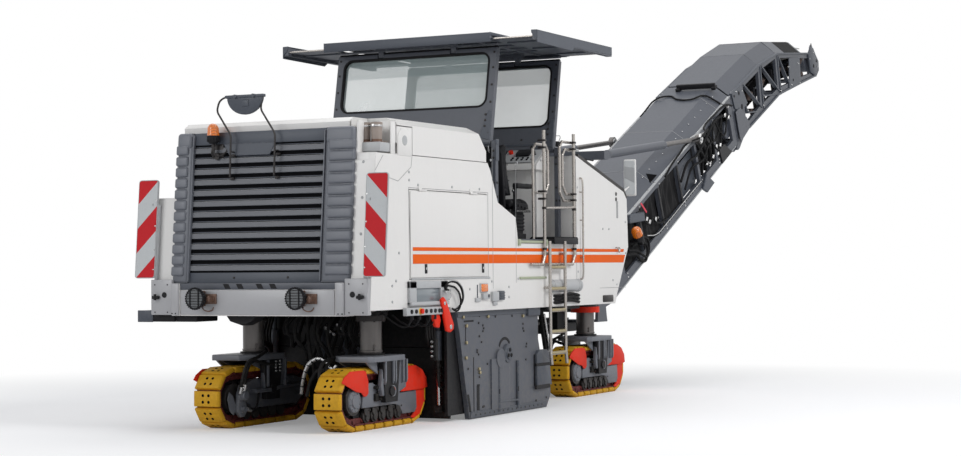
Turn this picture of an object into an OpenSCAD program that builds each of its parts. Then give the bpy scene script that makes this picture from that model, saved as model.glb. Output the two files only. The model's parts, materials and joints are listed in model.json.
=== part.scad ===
/* [Running gear] */
// Distance from the rear to the front steering columns
wheelbase = 4870; // [4600:10:5200]
// Distance of each track's centre line from the machine's centre line
track_offset = 640; // [620:5:680]
// Width of one track shoe
shoe_width = 280; // [220:10:300]
// Length of one track over its shoes
track_length = 1600; // [1450:10:1650]
// Height of one track over its shoes
track_height = 560; // [500:10:580]
// Number of shoes on one track
shoe_count = 22; // [18:1:36]
// Diameter of a lifting column
column_d = 200; // [160:5:220]
// Radial running clearance of a column in its sleeve
column_gap = 0.5; // [0.3:0.1:3]
// Wall of a column sleeve
sleeve_wall = 28; // [16:1:36]

/* [Body] */
// Distance of the white side panels from the centre line
side_y = 1150; // [1130:5:1220]
// Inner face of the side bodies, from the centre line
side_inner_y = 860; // [840:5:880]
// Height of the side bodies' lower edge over the drum
body_floor = 1040; // [1040:5:1070]
// Height of the engine bay's upper edge
bay_top = 2470; // [2400:10:2520]
// Height of the engine hood's crown
hood_top = 2800; // [2740:10:2860]
// Thickness of sheet metal skins
skin = 25; // [15:1:28]
// Height of the platform floor
floor_z = 1740; // [1700:10:1780]
// Gap round doors and hood
door_gap = 6; // [5:1:10]

/* [Rear end] */
// Half width of the bumper beam
bumper_half = 908; // [860:2:930]
// Lower edge of the bumper beam
bumper_low = 1043; // [1020:1:1080]
// Upper edge of the bumper beam
bumper_high = 1335; // [1300:1:1360]
// Number of grille slats
slat_count = 12; // [8:1:14]
// Width of a warning sign
sign_width = 220; // [180:5:260]

/* [Drum] */
// Cutting circle of the milling drum
drum_d = 980; // [900:10:1000]
// Milling width over the drum
drum_width = 1970; // [1800:10:1970]
// Height of the drum's axis
drum_z = 530; // [520:5:560]
// Travel of the side plates
plate_travel = 250; // [100:10:280]

/* [Canopy] */
// Height of the roof's top skin
roof_top = 3800; // [3740:10:3860]
// Half width of the fixed roof
roof_half = 968; // [940:2:1000]
// Half width over the side panels when they are out
panel_outer = 1480; // [1460:2:1520]
// Inward travel of the side panels
panel_travel = 430; // [300:10:440]
// Forward lean of the canopy walls
wall_lean = 11; // [8:1:14]
// Height of the canopy walls' lower hinges
wall_hinge_z = 2700; // [2680:5:2720]
// Thickness of a canopy wall
wall_t = 60; // [40:2:60]

/* [Conveyor] */
// Upward slope of the lower conveyor section
conveyor_slope = 24.9; // [18:0.1:28]
// Half width over the conveyor's side frames
conveyor_half = 550; // [530:5:560]
// Half width of the conveyor belts
belt_half = 400; // [360:5:420]
// Depth of the lower section's side frames
truss_depth = 715; // [680:5:740]
// Length of the lower section from lift hinge to fold
lower_length = 5400; // [5200:10:5600]

/* [Hidden] */
$fn = 48;

// Colours as the machine is painted
white_paint = [0.86, 0.85, 0.84];
grey_paint = [0.32, 0.34, 0.38];
frame_black = [0.10, 0.10, 0.12];
steel = [0.66, 0.66, 0.66];

// Small fits
hair = 0.3;
pin_gap = 0.4;

// Right and left
RIGHT = -1;
LEFT = 1;
SIDES = [RIGHT, LEFT];

// Steering columns: x, side
COLUMNS = [[0, RIGHT], [0, LEFT], [wheelbase, RIGHT], [wheelbase, LEFT]];
column_r = column_d / 2;
bore_r = column_r + column_gap;
sleeve_r = bore_r + sleeve_wall;
sleeve_low = 1000;
sleeve_high = 1560;
column_high = 1500;

// Track unit, measured from its column's axis
fork_top = track_height + 95;
fork_plate = 40;
fork_half_x = 155;
fork_side = 50;
fork_gap = 25;
fork_inner = shoe_width / 2 + fork_gap;
fork_outer = fork_inner + fork_side;
track_r = track_height / 2;
track_pin_z = track_r + 60;
track_pin_r = 45;
track_straight = track_length - track_height;
chain_depth = 62;
shoe_depth = 22;
shoe_notch = 16;
roller_r = 62;

// Main frame
frame_low = 1100;
frame_slab = 150;
frame_rear = -700;
frame_front = wheelbase + 130;
beam_inner = 480;
beam_outer = side_inner_y;
beam_high = 1400;
slab_front = 2900;
nose_x = wheelbase - 520;

// Slewing and lifting of the conveyor
slew_x = wheelbase + 580;
tongue_low = 700;
tongue_high = 800;
tongue_half = 300;
hanger_x = [wheelbase - 540, wheelbase - 310];
slew_pin_r = 60;
lift_z = 1050;
lift_pin_r = 40;
mast_pin_r = 50;
mast_low = 2380;
cyl_y = conveyor_half + 65;
cyl_x = slew_x + 80;
cyl_z = 2760;
cyl_r = 52;
rod_r = 32;
cyl_pin_r = 26;
// The rod's eye has play on its pin, because the linkage is opened here
eye_pin_r = 20;
eye_play = 26;
eye_r = 70;
eye_u = 3819;
chord_low = -200;
chord_top = chord_low + truss_depth;
cyl_barrel = 1900;
cyl_neck = 70;
cyl_rod_in = 900;

// Fold hinge of the conveyor, in the conveyor's own slope frame
fold_u = lower_length;
fold_w = chord_low - 45;
fold_pin_r = 30;
seam = 12;

// Side outline of the upper section: u, w on the slope frame of the lower one
UPPER_LOW = [[0, chord_low], [1270, -180], [2130, -235], [3230, -460], [3930, -618]];
UPPER_TOP = [[3880, -225], [3700, -169], [2208, chord_top - 155], [1396, chord_top - 53], [0, chord_top]];

// Canopy
wall_reach = 975;
wall_rear_x = 1930;
wall_front_x = 3430;
wall_half = 930;
wall_pin_r = 12;
glass_t = 8;
roof_rear = 1850;
roof_front = 3780;
roof_pin_z = wall_hinge_z + wall_reach * cos(wall_lean);
roof_pin_dx = wall_reach * sin(wall_lean);
roof_skin = 30;
fascia_depth = 65;
lug_y = 425;
lug_half = 30;

// Drum and its housing
drum_x = 1680;
housing_half = 1035;
housing_wall = 30;
housing_rear = 745;
housing_front = 2680;
plate_gap = 7;
plate_t = 50;

// Origin: half way along the whole machine, on the ground
lamp_reach = -1060;
head_front = slew_x + (lower_length + UPPER_LOW[4][0]) * cos(conveyor_slope)
    - UPPER_LOW[4][1] * sin(conveyor_slope);
origin_x = (lamp_reach + head_front) / 2;

// Sheet metal hinges
hinge_r = 18;
hinge_pin_r = 9;
hood_low = bay_top + door_gap;
bay_front = 1460;
tank_rear = 3500;
hood_hinge_y = [-620, 620];

// Placing and drawing helpers

// Everything is drawn with x = 0 at the rear columns and moved to the origin
module at_origin() {
    translate([-origin_x, 0, 0]) children();
}

// A block given by its two corners
module block(x, y, z) {
    translate([x[0], y[0], z[0]]) cube([x[1] - x[0], y[1] - y[0], z[1] - z[0]]);
}

// An outline in x and z, drawn from y0 to y1
module side_outline(points, y0, y1) {
    translate([0, y1, 0]) rotate([90, 0, 0]) linear_extrude(y1 - y0) polygon(points);
}

// An outline in y and z, drawn from x0 to x1
module cross_outline(points, x0, x1) {
    translate([x0, 0, 0]) rotate([90, 0, 90]) linear_extrude(x1 - x0) polygon(points);
}

module cyl_y(x, z, r, y0, y1) {
    translate([x, y0, z]) rotate([-90, 0, 0]) cylinder(r = r, h = y1 - y0);
}

module cyl_x(y, z, r, x0, x1) {
    translate([x0, y, z]) rotate([0, 90, 0]) cylinder(r = r, h = x1 - x0);
}

module cyl_z(x, y, r, z0, z1) {
    translate([x, y, z0]) cylinder(r = r, h = z1 - z0);
}

// A straight tube or bar between two points
module bar(p, q, r) {
    d = q - p;
    translate(p)
        rotate([0, acos(d[2] / norm(d)), atan2(d[1], d[0])])
            cylinder(r = r, h = norm(d), $fn = 20);
}

// A chain of bars through a list of points
module bent_bar(points, r) {
    for (i = [0 : len(points) - 2]) bar(points[i], points[i + 1], r);
    for (i = [1 : len(points) - 2]) translate(points[i]) sphere(r = r * 1.08, $fn = 20);
}

// A rectangle with round corners, from its lower left corner
module round_rect(size, r) {
    translate([r, 0]) square([size[0] - 2 * r, size[1]]);
    translate([0, r]) square([size[0], size[1] - 2 * r]);
    for (x = [r, size[0] - r]) for (y = [r, size[1] - r]) translate([x, y]) circle(r = r);
}

// Draws its child on one side; the child is drawn for the left side
module on_side(side) {
    if (side == LEFT) children();
    else mirror([0, 1, 0]) children();
}

module both_sides() {
    for (side = SIDES) on_side(side) children();
}

// Slope frame of the conveyor: u forward along it, w square to it
module on_slope() {
    translate([slew_x, 0, lift_z]) rotate([0, -conveyor_slope, 0]) children();
}

// Main frame with the four column sleeves
module main_frame() {
    color(frame_black) difference() {
        union() {
            block([frame_rear, slab_front], [-beam_outer, beam_outer], [frame_low, frame_low + frame_slab]);
            both_sides() {
                block([slab_front, frame_front], [beam_inner, beam_outer], [frame_low, beam_high]);
                block([frame_rear, slab_front], [beam_outer - 120, beam_outer],
                    [frame_low + frame_slab, beam_high]);
            }
            for (c = COLUMNS)
                cyl_z(c[0], c[1] * track_offset, sleeve_r, sleeve_low, sleeve_high);
            // Hangers and tongue that carry the slewing conveyor
            both_sides() block(hanger_x, [primary_half + 8, beam_inner + 60], [tongue_low, frame_low + 60]);
            block(hanger_x, [-beam_inner - 60, beam_inner + 60], [tongue_low, tongue_high]);
            block([hanger_x[0], slew_x + 130], [-tongue_half, tongue_half], [tongue_low, tongue_high]);
            // Brackets of the primary conveyor
            both_sides() block([hanger_x[1], hanger_x[1] + 80], [primary_half + hair, beam_inner + 1],
                [1210, 1390]);
            // Wall ahead of the engine, under the hood's hinge
            block([bay_front - 65, bay_front - 25], [-side_inner_y + hair, side_inner_y - hair],
                [frame_low + frame_slab - 1, hood_low - 30]);
            for (y = hood_hinge_y) block([bay_front - 65, bay_front - 25], [y - 90, y - 40],
                [hood_low - 40, hood_low]);
            for (y = hood_hinge_y) cyl_y(bay_front - 45, hood_low, hinge_r, y - 90, y - 40);
            // Bearers of the platform, the bumper and the tank
            both_sides() {
                for (x = [2100, 3250]) block([x, x + 80], [560, 640], [frame_low, floor_z - 60]);
                block([frame_rear - 90, frame_rear + 60], [500, 700], [frame_low + 30, bumper_high - 30]);
            }
        }
        for (c = COLUMNS)
            cyl_z(c[0], c[1] * track_offset, bore_r, sleeve_low - 1, sleeve_high + 1);
        cyl_z(slew_x, 0, slew_pin_r + pin_gap, tongue_low - 1, tongue_high + 1);
        for (y = hood_hinge_y) cyl_y(bay_front - 45, hood_low, hinge_pin_r + pin_gap, y - 91, y - 39);
    }
}

// White beam across the rear end, with its corner blocks
bumper_rear = -920;
module rear_bumper() {
    color(white_paint) {
        block([bumper_rear, frame_rear - 90], [-bumper_half + 85, bumper_half - 85],
            [bumper_low, bumper_high]);
        both_sides() {
            block([bumper_rear - 12, frame_rear - 60], [bumper_half - 85, bumper_half],
                [bumper_low, bumper_high]);
        }
    }
}

// Radiator grille, leaning with the rear face
grille_high = 2705;
grille_half = 920;
grille_lean = 4.9;
grille_x = -866;
// Edges of the slats' opening, which sits off centre between the posts
grille_open = [-655, 766];
grille_deep = 50;
grille_low = bumper_high + hair + grille_deep * sin(grille_lean);
// Where the leaning face of the bands stands at a height
function grille_face(z) = grille_x + (z - grille_low) * tan(grille_lean);
band_high = 110;
band_low = 90;
core_top = 1060;
module radiator_grille() {
    tall = (grille_high - grille_low) / cos(grille_lean);
    middle = (grille_open[0] + grille_open[1]) / 2;
    color(grey_paint) translate([grille_x, 0, grille_low]) rotate([0, grille_lean, 0]) {
        // Top band, bottom band and the two posts
        block([0, grille_deep], grille_open, [tall - band_high, tall]);
        block([0, grille_deep], grille_open, [0, band_low]);
        block([-20, grille_deep], [-grille_half, grille_open[0]], [0, tall]);
        block([-20, grille_deep], [grille_open[1], grille_half], [0, tall]);
        for (i = [0 : slat_count - 1])
            translate([25, middle, band_low + (i + 0.72) * (tall - band_low - band_high) / slat_count])
                rotate([0, 28, 0])
                    cube([48, grille_open[1] - grille_open[0] + 2, 18], center = true);
        // Cooler core behind the slats
        block([grille_deep + 10, grille_deep + 90], [-side_inner_y, side_inner_y], [20, core_top]);
        for (y = [-800, 750]) block([grille_deep - 1, grille_deep + 11], [y, y + 50], [20, core_top]);
    }
}

// Engine and hydraulic pumps, one plain block on the frame
module engine_block() {
    color(frame_black) block([-380, 1250], [-430, 430], [frame_low + frame_slab, 2300]);
}

// Side bodies
rear_lean_low = -890;
tail_low = 1090;
rear_lean_high = rear_lean_low + (bay_top - tail_low) * tan(grille_lean);
door_x = [-180, 1430];
door_z = [1360, 2160];
corner_x = -375;
corner_inner = grille_half + 5;
left_corner_top = 2120;
right_corner_top = bay_top - 60;
SIDE_POINTS = [
    [rear_lean_low, tail_low], [rear_lean_high, bay_top], [bay_front - 60, bay_top],
    [bay_front, bay_top - 70], [1620, 2090], [2020, 1950], [2070, floor_z - 45],
    [tank_rear, floor_z - 45], [tank_rear, 2640], [nose_x + 470, 2290], [nose_x + 560, 2210],
    [nose_x + 590, 1670], [nose_x + 260, 1150], [nose_x + 200, body_floor], [620, body_floor],
    [600, tail_low]
];
plate_high = 1030;
plate_room = plate_high + plate_travel + 120;
// Lifting eyes: rear edge of the plate on each side, and its shape
eye_plate_x = [-380];
eye_plate_w = 260;
eye_plate_top = 2715;
eye_bore_z = 2600;
eye_t = 40;
eye_bore_r = 45;
door_hinge_x = [60, 1080];
door_hinge_y = side_y + 5;
door_hinge_z = door_z[1] + door_gap / 2;
knuckle_r = 10;
knuckle_pin_r = 5;
module side_body(side) {
    color(white_paint) on_side(side) difference() {
        union() {
            difference() {
                side_outline(SIDE_POINTS, side_inner_y, side_y);
                // The rear corner stays solid, outside the grille; ahead of it only the skin stays
                block([-1000, corner_x], [side_inner_y - 1, corner_inner], [0, bay_top + 1]);
                block([corner_x, bay_front - 2 * skin], [side_inner_y - 1, side_y - skin],
                    [tail_low + skin, bay_top + 1]);
                // The left corner has a recess, the right one a seat for the exhaust
                if (side == LEFT) block([-1000, corner_x - 25], [corner_inner + skin, side_y + 1],
                    [left_corner_top, bay_top + 1]);
                else block([-1000, corner_x - 25], [corner_inner - 1, side_y - 60],
                    [right_corner_top, bay_top + 1]);
                // Room for the side plate behind the lower skin
                block([600 + skin, 3000], [side_inner_y - 1, side_y - skin], [body_floor - 1, plate_room]);
                block([door_x[0] - door_gap, door_x[1] - 60 + door_gap], [side_y - skin - 1, side_y + 1],
                    [door_z[0] - door_gap, door_z[1] + door_gap]);
            }
            // The lifting eye stands on the rear panel
            for (x = eye_plate_x) side_outline([[x, 2200], [x + eye_plate_w, 2200], [x + eye_plate_w, 2620],
                [x + 190, eye_plate_top], [x + 70, eye_plate_top], [x, 2620]], side_y - eye_t, side_y);
            // Fixed halves of the door hinges
            for (x = door_hinge_x) {
                block([x - 70, x - 1], [side_y - 1, door_hinge_y],
                    [door_hinge_z + door_gap / 2 + 0.5, door_hinge_z + 40]);
                cyl_x(door_hinge_y, door_hinge_z, knuckle_r, x - 70, x - 1);
            }
        }
        for (x = door_hinge_x) cyl_x(door_hinge_y, door_hinge_z, knuckle_r + 3, x, x + 76);
        for (x = eye_plate_x) cyl_y(x + eye_plate_w / 2, eye_bore_z, eye_bore_r, side_y - 60, side_y + 20);
        for (x = door_hinge_x)
            cyl_x(door_hinge_y, door_hinge_z, knuckle_pin_r + pin_gap, x - 71, x);
    }
}

module right_side_body() { side_body(RIGHT); }
module left_side_body() { side_body(LEFT); }

// Flap over the engine bay's side, hinged along its upper edge
module service_door(side) {
    color(white_paint) on_side(side) {
        difference() {
            union() {
                block([door_x[0], door_x[1] - 60], [side_y - skin, side_y], door_z);
                for (x = door_hinge_x) {
                    block([x + 1, x + 70], [side_y - 1, door_hinge_y], [door_hinge_z - 40, door_z[1]]);
                    cyl_x(door_hinge_y, door_hinge_z, knuckle_r, x + 1, x + 70);
                }
            }
            // Room for the fixed knuckles
            for (x = door_hinge_x) cyl_x(door_hinge_y, door_hinge_z, knuckle_r + 5, x - 76, x + 1);
        }
        for (x = door_hinge_x) cyl_x(door_hinge_y, door_hinge_z, knuckle_pin_r, x - 70, x + 30);
    }
}

module right_service_door() { service_door(RIGHT); }
module left_service_door() { service_door(LEFT); }

// Water tank between the side bodies, with a closed sloping top
module water_tank() {
    color(white_paint) side_outline([[tank_rear, 1730], [tank_rear, 2640], [nose_x, 2415], [nose_x, 1730]],
        -side_inner_y + hair, side_inner_y - hair);
}

// Twin exhaust on the right, in its base
exhaust_x = -600;
exhaust_pipe_r = 48;
module exhaust_pipes() {
    color("sienna") {
        for (y = [side_y - 175, side_y - 73]) difference() {
            cyl_z(exhaust_x, -y, exhaust_pipe_r, 2560, 2765);
            cyl_z(exhaust_x, -y, exhaust_pipe_r - 6, 2600, 2766);
        }
        block([exhaust_x - 90, exhaust_x + 100], [-side_y + 8, -corner_inner - hair], [bay_top + hair, 2575]);
        block([exhaust_x - 80, exhaust_x + 90], [-side_y + 65, -corner_inner - hair],
            [right_corner_top + hair, bay_top + 1]);
    }
}

// Engine hood, hinged at its front end
hood_rear = -690;
hood_notch_x = -380;
hood_front = bay_front - 60;
HOOD_POINTS = [[hood_rear, hood_low], [hood_rear, hood_top - 40], [hood_rear + 60, hood_top],
    [1170, hood_top], [hood_front - 20, 2580], [hood_front - 20, hood_low]];
hood_half = side_y - 4;
hood_crown = 60;
hood_shoulder = 106;
// Cross section of the hood, with its shoulders, drawn smaller all round for its inside
module hood_section(shrink) {
    y = hood_half - shrink;
    z = hood_top - shrink;
    cross_outline([[-y, hood_low - 2], [-y, z - hood_crown], [hood_shoulder - y, z], [y - hood_shoulder, z],
        [y, z - hood_crown], [y, hood_low - 2]], hood_rear - 1, hood_front);
}
module engine_hood() {
    color(white_paint) {
        difference() {
            intersection() {
                side_outline(HOOD_POINTS, -hood_half, hood_half);
                hood_section(0);
            }
            intersection() {
                side_outline([[hood_rear + skin, hood_low - 1], [hood_rear + skin, hood_top - 60],
                    [hood_rear + 70, hood_top - skin], [1155, hood_top - skin], [hood_front - 45, 2570],
                    [hood_front - 45, hood_low - 1]], -hood_half, hood_half);
                hood_section(skin);
            }
            // Notches: a wide one round the exhaust, and one over the left corner
            block([hood_rear - 1, hood_notch_x], [-side_y, -side_y + 310], [hood_low - 1, hood_top + 1]);
            block([hood_rear - 1, hood_notch_x], [corner_inner, side_y], [hood_low - 1, hood_top + 1]);
            // Notches round the lifting eyes
            both_sides() block([eye_plate_x[0] - 20, eye_plate_x[0] + eye_plate_w + 20],
                [side_y - eye_t - 20, side_y + 1], [hood_low - 1, eye_plate_top + 15]);
        }
        for (y = hood_hinge_y) {
            cyl_y(bay_front - 45, hood_low, hinge_r, y - 35, y + 35);
            block([hood_front - 21, bay_front - 45], [y - 35, y + 35], [hood_low, hood_low + hinge_r]);
            cyl_y(bay_front - 45, hood_low, hinge_pin_r, y - 95, y + 1);
        }
    }
}

// Operator platform: floor, rear wall and fixed canopy posts
post_y = [945, 990];
rear_post_low = 2010;
platform_x = [2075, tank_rear - 5];
module operator_platform() {
    color(grey_paint) difference() {
        union() {
            block(platform_x, [-side_y + 40, side_y - 40], [floor_z - 40, floor_z]);
            block(platform_x, [-side_inner_y + hair, side_inner_y - hair], [floor_z - 60, floor_z - 39]);
            block([wall_rear_x - 30, wall_rear_x + 30], [-side_inner_y + hair, side_inner_y - hair],
                [floor_z - 40, 2450]);
            block([wall_rear_x - 30, wall_rear_x + 30], [-post_y[1], post_y[1]], [rear_post_low, 2450]);
            block([wall_rear_x - 29, 2080], [-side_inner_y + hair, side_inner_y - hair],
                [floor_z - 60, floor_z]);
            both_sides() for (foot = [[wall_rear_x, rear_post_low], [wall_front_x, floor_z - 1]]) {
                block([foot[0] - 30, foot[0] + 30], post_y, [foot[1], wall_hinge_z]);
                cyl_y(foot[0], wall_hinge_z, 30, post_y[0], post_y[1]);
            }
        }
        both_sides() for (x = [wall_rear_x, wall_front_x])
            cyl_y(x, wall_hinge_z, wall_pin_r + pin_gap, post_y[0] - 1, post_y[1] + 1);
    }
}

// Tube rails at both entrances: two tall ones, loops fixed to the tank, and a gate bar
rail_r = 17;
rail_y = side_y + 30;
rail_x = [2636, 3382];
rail_top = 2860;
rail_foot = 1480;
loop_y = side_y - 10;
module handrails() {
    color(steel) both_sides() {
        bent_bar([[rail_x[0], rail_y, rail_top], [rail_x[0], rail_y, rail_foot + 90],
            [rail_x[0] - 60, rail_y, rail_foot], [rail_x[0] - 330, rail_y, rail_foot]], rail_r);
        bent_bar([[rail_x[1], rail_y, rail_top], [rail_x[1], rail_y, rail_foot + 90],
            [rail_x[1] - 60, rail_y, rail_foot], [rail_x[0] + 40, rail_y, rail_foot]], rail_r);
        // Loops ahead of the entrance, one inside the other
        for (loop = [[3110, 2770, 2150], [3180, 2690, 2220]])
            bent_bar([[tank_rear - hair, loop_y, loop[1]], [loop[0] + 60, loop_y, loop[1]],
                [loop[0], loop_y, loop[1] - 60], [loop[0], loop_y, loop[2] + 90],
                [loop[0] + 90, loop_y, loop[2]], [tank_rear - hair, loop_y, loop[2]]], rail_r - 2);
        // Loop behind the entrance, standing on the floor
        bent_bar([for (p = [[2560, floor_z + hair], [2560, 2660], [2620, 2720], [2860, 2720],
            [2920, 2660], [2920, 2310], [2860, 2220], [2560, 2220]]) [p[0], loop_y - 50, p[1]]], rail_r - 2);
        bar([rail_x[0], rail_y, 2060], [rail_x[1], rail_y, 2080], rail_r - 4);
        for (x = rail_x) bar([x, side_y + hair, 1640], [x, rail_y, 1640], 12);
    }
}

// Ladders at both entrances, outside the rails
ladder_x = [2677, 3052];
ladder_y = rail_y + 38;
ladder_top = 1720;
module ladders() {
    color(steel) both_sides() {
        for (x = ladder_x) {
            bent_bar([[x, ladder_y, ladder_top], [x, ladder_y, 560], [x + 25, ladder_y, 450]], rail_r);
            for (z = [1240, 1590]) bar([x, side_y + hair, z], [x, ladder_y, z], 14);
        }
        for (z = [560 : 220 : 1480]) bar([ladder_x[0], ladder_y, z], [ladder_x[1], ladder_y, z], 13);
    }
}

// Two seats: pedestals first, then cushions
seat_x = 2560;
seat_y = 740;
seat_top = 2130;
module seat_frames() {
    color(frame_black) both_sides() {
        block([seat_x - 200, seat_x + 200], [seat_y - 170, seat_y + 170], [floor_z, floor_z + 60]);
        block([seat_x - 170, seat_x + 170], [seat_y - 150, seat_y + 150], [floor_z + 60, seat_top - 110]);
        block([seat_x - 250, seat_x + 230], [seat_y - 210, seat_y + 210], [seat_top - 110, seat_top - 85]);
        side_outline([[seat_x - 278, seat_top - 110], [seat_x - 250, seat_top - 110],
            [seat_x - 250 - hair, seat_top + 40], [seat_x - 307 - hair, seat_top + 440],
            [seat_x - 335, seat_top + 440]], seat_y - 80, seat_y + 80);
        for (y = [seat_y - 245, seat_y + 245]) {
            block([seat_x - 200, seat_x + 120], [y - 28, y + 28], [seat_top + 130, seat_top + 165]);
            block([seat_x - 230, seat_x - 200], [y - 14, y + 14], [seat_top - 110, seat_top + 165]);
            block([seat_x - 230, seat_x - 200], [min(y, seat_y), max(y, seat_y)],
                [seat_top - 110, seat_top - 86]);
        }
    }
}

module seat_cushions() {
    color(frame_black) both_sides() {
        side_outline([[seat_x - 240, seat_top - 85 + hair], [seat_x + 235, seat_top - 85 + hair],
            [seat_x + 250, seat_top], [seat_x + 190, seat_top + 30], [seat_x - 200, seat_top + 10]],
            seat_y - 205, seat_y + 205);
        side_outline([[seat_x - 250, seat_top + 40], [seat_x - 120, seat_top + 40],
            [seat_x - 250, seat_top + 590], [seat_x - 330, seat_top + 600]],
            seat_y - 190, seat_y + 190);
    }
}

// Control consoles in front of each seat
module control_consoles() {
    color(frame_black) both_sides() {
        block([3130, 3330], [500, 860], [floor_z, 2480]);
        side_outline([[3040, 2480], [3060, 2540], [3330, 2700], [3350, 2480]], 440, 900);
    }
}

// Retroreflecting signs on brackets at the rear corners
sign_low = 1379;
sign_high = 908;
module warning_signs() {
    color("red") both_sides() {
        translate([rear_lean_low + (sign_low - tail_low) * tan(grille_lean), 0, sign_low])
            rotate([0, grille_lean, 0]) {
                block([-42, -30], [side_y - 47, side_y - 47 + sign_width], [0, sign_high]);
                block([-31, -hair], [side_y - 47, side_y - 2], [40, sign_high - 250]);
            }
    }
}

// Mirrors: one over the rear end, two at the nose
module mirrors() {
    color(frame_black) {
        for (y = [-145, 325]) {
            bent_bar([[-852, y, 2290], [-812, y, 2670], [-812, y + 155, 2895], [-812, y + 105, 3015]], 9);
            bar([-813, y, 2640], [grille_face(2632) - hair, y, 2640], 8);
        }
        block([-822, -802], [-35, 368], [2861, 3020]);
        block([-822, -802], [-45, 440], [3004, 3034]);
        both_sides() {
            translate([nose_x + 710, side_y - 25, 2460]) cube([22, 150, 400], center = true);
            // The arm stands square on the chamfer at the body's front corner
            bent_bar([[nose_x + 515.2, side_y - 30, 2250.2], [nose_x + 555, side_y - 30, 2295],
                [nose_x + 702, side_y - 30, 2330]], 10);
        }
    }
}

// Amber beacons: one on the rear left of the grille
beacon_x = -820;
beacon_y = 522;
module beacons() {
    color("orange") {
        cyl_z(beacon_x, beacon_y, 52, 2625, 2765);
        block([beacon_x - 60, grille_face(2600) - hair], [beacon_y - 60, beacon_y + 60], [2600, 2626]);
    }
}

// Two round lamps on the bumper
lamp_y = [-487, 571];
lamp_z = 1205;
lamp_r = 102;
module work_lights() {
    color(frame_black) for (y = lamp_y) {
        cyl_x(y, lamp_z, lamp_r, lamp_reach, -990);
        cyl_x(y, lamp_z, lamp_r - 40, -990, -950);
        block([-955, bumper_rear - hair], [y - 30, y + 30], [lamp_z - 55, lamp_z + 55]);
    }
}

// Drum housing: top, rear and front walls, and side walls with shaft holes
drum_shaft_r = 120;
rub_x = [960, 2480];
module drum_housing() {
    color(frame_black) difference() {
        union() {
            block([blade_x, housing_front], [-housing_half, housing_half], [60, frame_low]);
            both_sides() {
                block([housing_rear, blade_x + 1], [housing_half - housing_wall, housing_half],
                    [60, frame_low]);
                // Lugs at the mouth, and rub strips that guide the side plates
                block([housing_front - 10, housing_front + 32], [primary_half + hair, 500], [440, 560]);
                for (x = rub_x) block([x, x + 40], [housing_half - 1, housing_half + plate_gap - hair],
                    [720, 1020]);
            }
        }
        block([blade_x + housing_wall, housing_front - housing_wall],
            [-housing_half + housing_wall, housing_half - housing_wall], [50, frame_low - 40]);
        // Mouth for the primary conveyor
        block([housing_front - 2 * housing_wall, housing_front + 50],
            [-primary_half - hair, primary_half + hair], [50, 760]);
        // Under the rear wall hangs the scraper blade
        block([blade_x - 1, blade_x + housing_wall + 1],
            [-housing_half + housing_wall, housing_half - housing_wall],
            [50, blade_top + 5]);
        cyl_y(drum_x, drum_z, drum_shaft_r + pin_gap, -housing_half - 1, housing_half + 1);
    }
}

// Scraper blade behind the drum, with its two cylinders
blade_x = 850;
blade_top = 695;
blade_half = housing_half - housing_wall - 8;
blade_cylinder_y = 870;
module scraper_blade() {
    foot = blade_x + housing_wall;
    color(frame_black) {
        block([blade_x, foot], [-blade_half, blade_half], [25, blade_top]);
        both_sides() {
            block([foot - 1, foot + 100], [blade_cylinder_y - 40, blade_cylinder_y + 40], [110, 150]);
            cyl_z(foot + 60, blade_cylinder_y, 22, 149, 560);
            cyl_z(foot + 60, blade_cylinder_y, 42, 559, frame_low - 40 - hair);
        }
    }
}

// Milling drum with tool holders on two opposed spirals
holder_rows = 21;
holder_starts = 3;
drum_body_r = 370;
module milling_drum() {
    pitch = drum_width / (holder_rows + 1);
    color(grey_paint) {
        cyl_y(drum_x, drum_z, drum_body_r, -drum_width / 2, drum_width / 2);
        cyl_y(drum_x, drum_z, drum_shaft_r, -housing_half + 2, housing_half - 2);
        for (row = [1 : holder_rows]) for (start = [0 : holder_starts - 1])
            translate([drum_x, -drum_width / 2 + row * pitch, drum_z])
                rotate([0, start * 360 / holder_starts + abs(row - (holder_rows + 1) / 2) * 26, 0])
                    translate([drum_d / 2 - 135, -25, -35]) cube([110, 50, 70]);
    }
}

// Side plates that float at the drum's ends
PLATE_POINTS = [[820, plate_high], [893, 840], [976, 465], [1085, 6], [2830, 6], [2930, 130],
    [2930, 560], [2840, 600], [2680, 600], [2640, 720], [2640, plate_high]];
module side_plate(side) {
    inner = housing_half + plate_gap;
    color(grey_paint) on_side(side) {
        side_outline(PLATE_POINTS, inner, inner + plate_t);
        // Bearing cap and the guide door over the drum's end
        cyl_y(drum_x + 60, 560, 95, inner + plate_t, inner + plate_t + 22);
        block([drum_x - 140, drum_x + 260], [inner + plate_t, inner + plate_t + 14], [60, 560]);
    }
}

module right_side_plate() { side_plate(RIGHT); }
module left_side_plate() { side_plate(LEFT); }

// Primary conveyor, from the drum up to the nose
primary_x = 2760;
primary_z = 300;
primary_run = slew_x - 315 - primary_x;
primary_rise = 1242;
primary_slope = atan2(primary_rise, primary_run);
primary_length = norm([primary_run, primary_rise]);
primary_half = 430;
primary_wall = 35;
primary_deep = [-60, 400];
primary_pulley_r = 70;
primary_pulley_u = [120, primary_length - 120];
module primary_conveyor() {
    inner = primary_half - primary_wall;
    color(frame_black) translate([primary_x, 0, primary_z]) rotate([0, -primary_slope, 0]) {
        both_sides() block([0, primary_length], [inner, primary_half], primary_deep);
        block([40, primary_length - 260], [-inner, inner], [primary_deep[1] - 20, primary_deep[1]]);
        belt([for (u = primary_pulley_u) [u, primary_pulley_r]], primary_pulley_r, inner - 25);
        for (u = primary_pulley_u) translate([u, 0, primary_pulley_r]) rotate([90, 0, 0])
            cylinder(r = primary_pulley_r, h = 2 * inner, center = true);
    }
}

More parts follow.
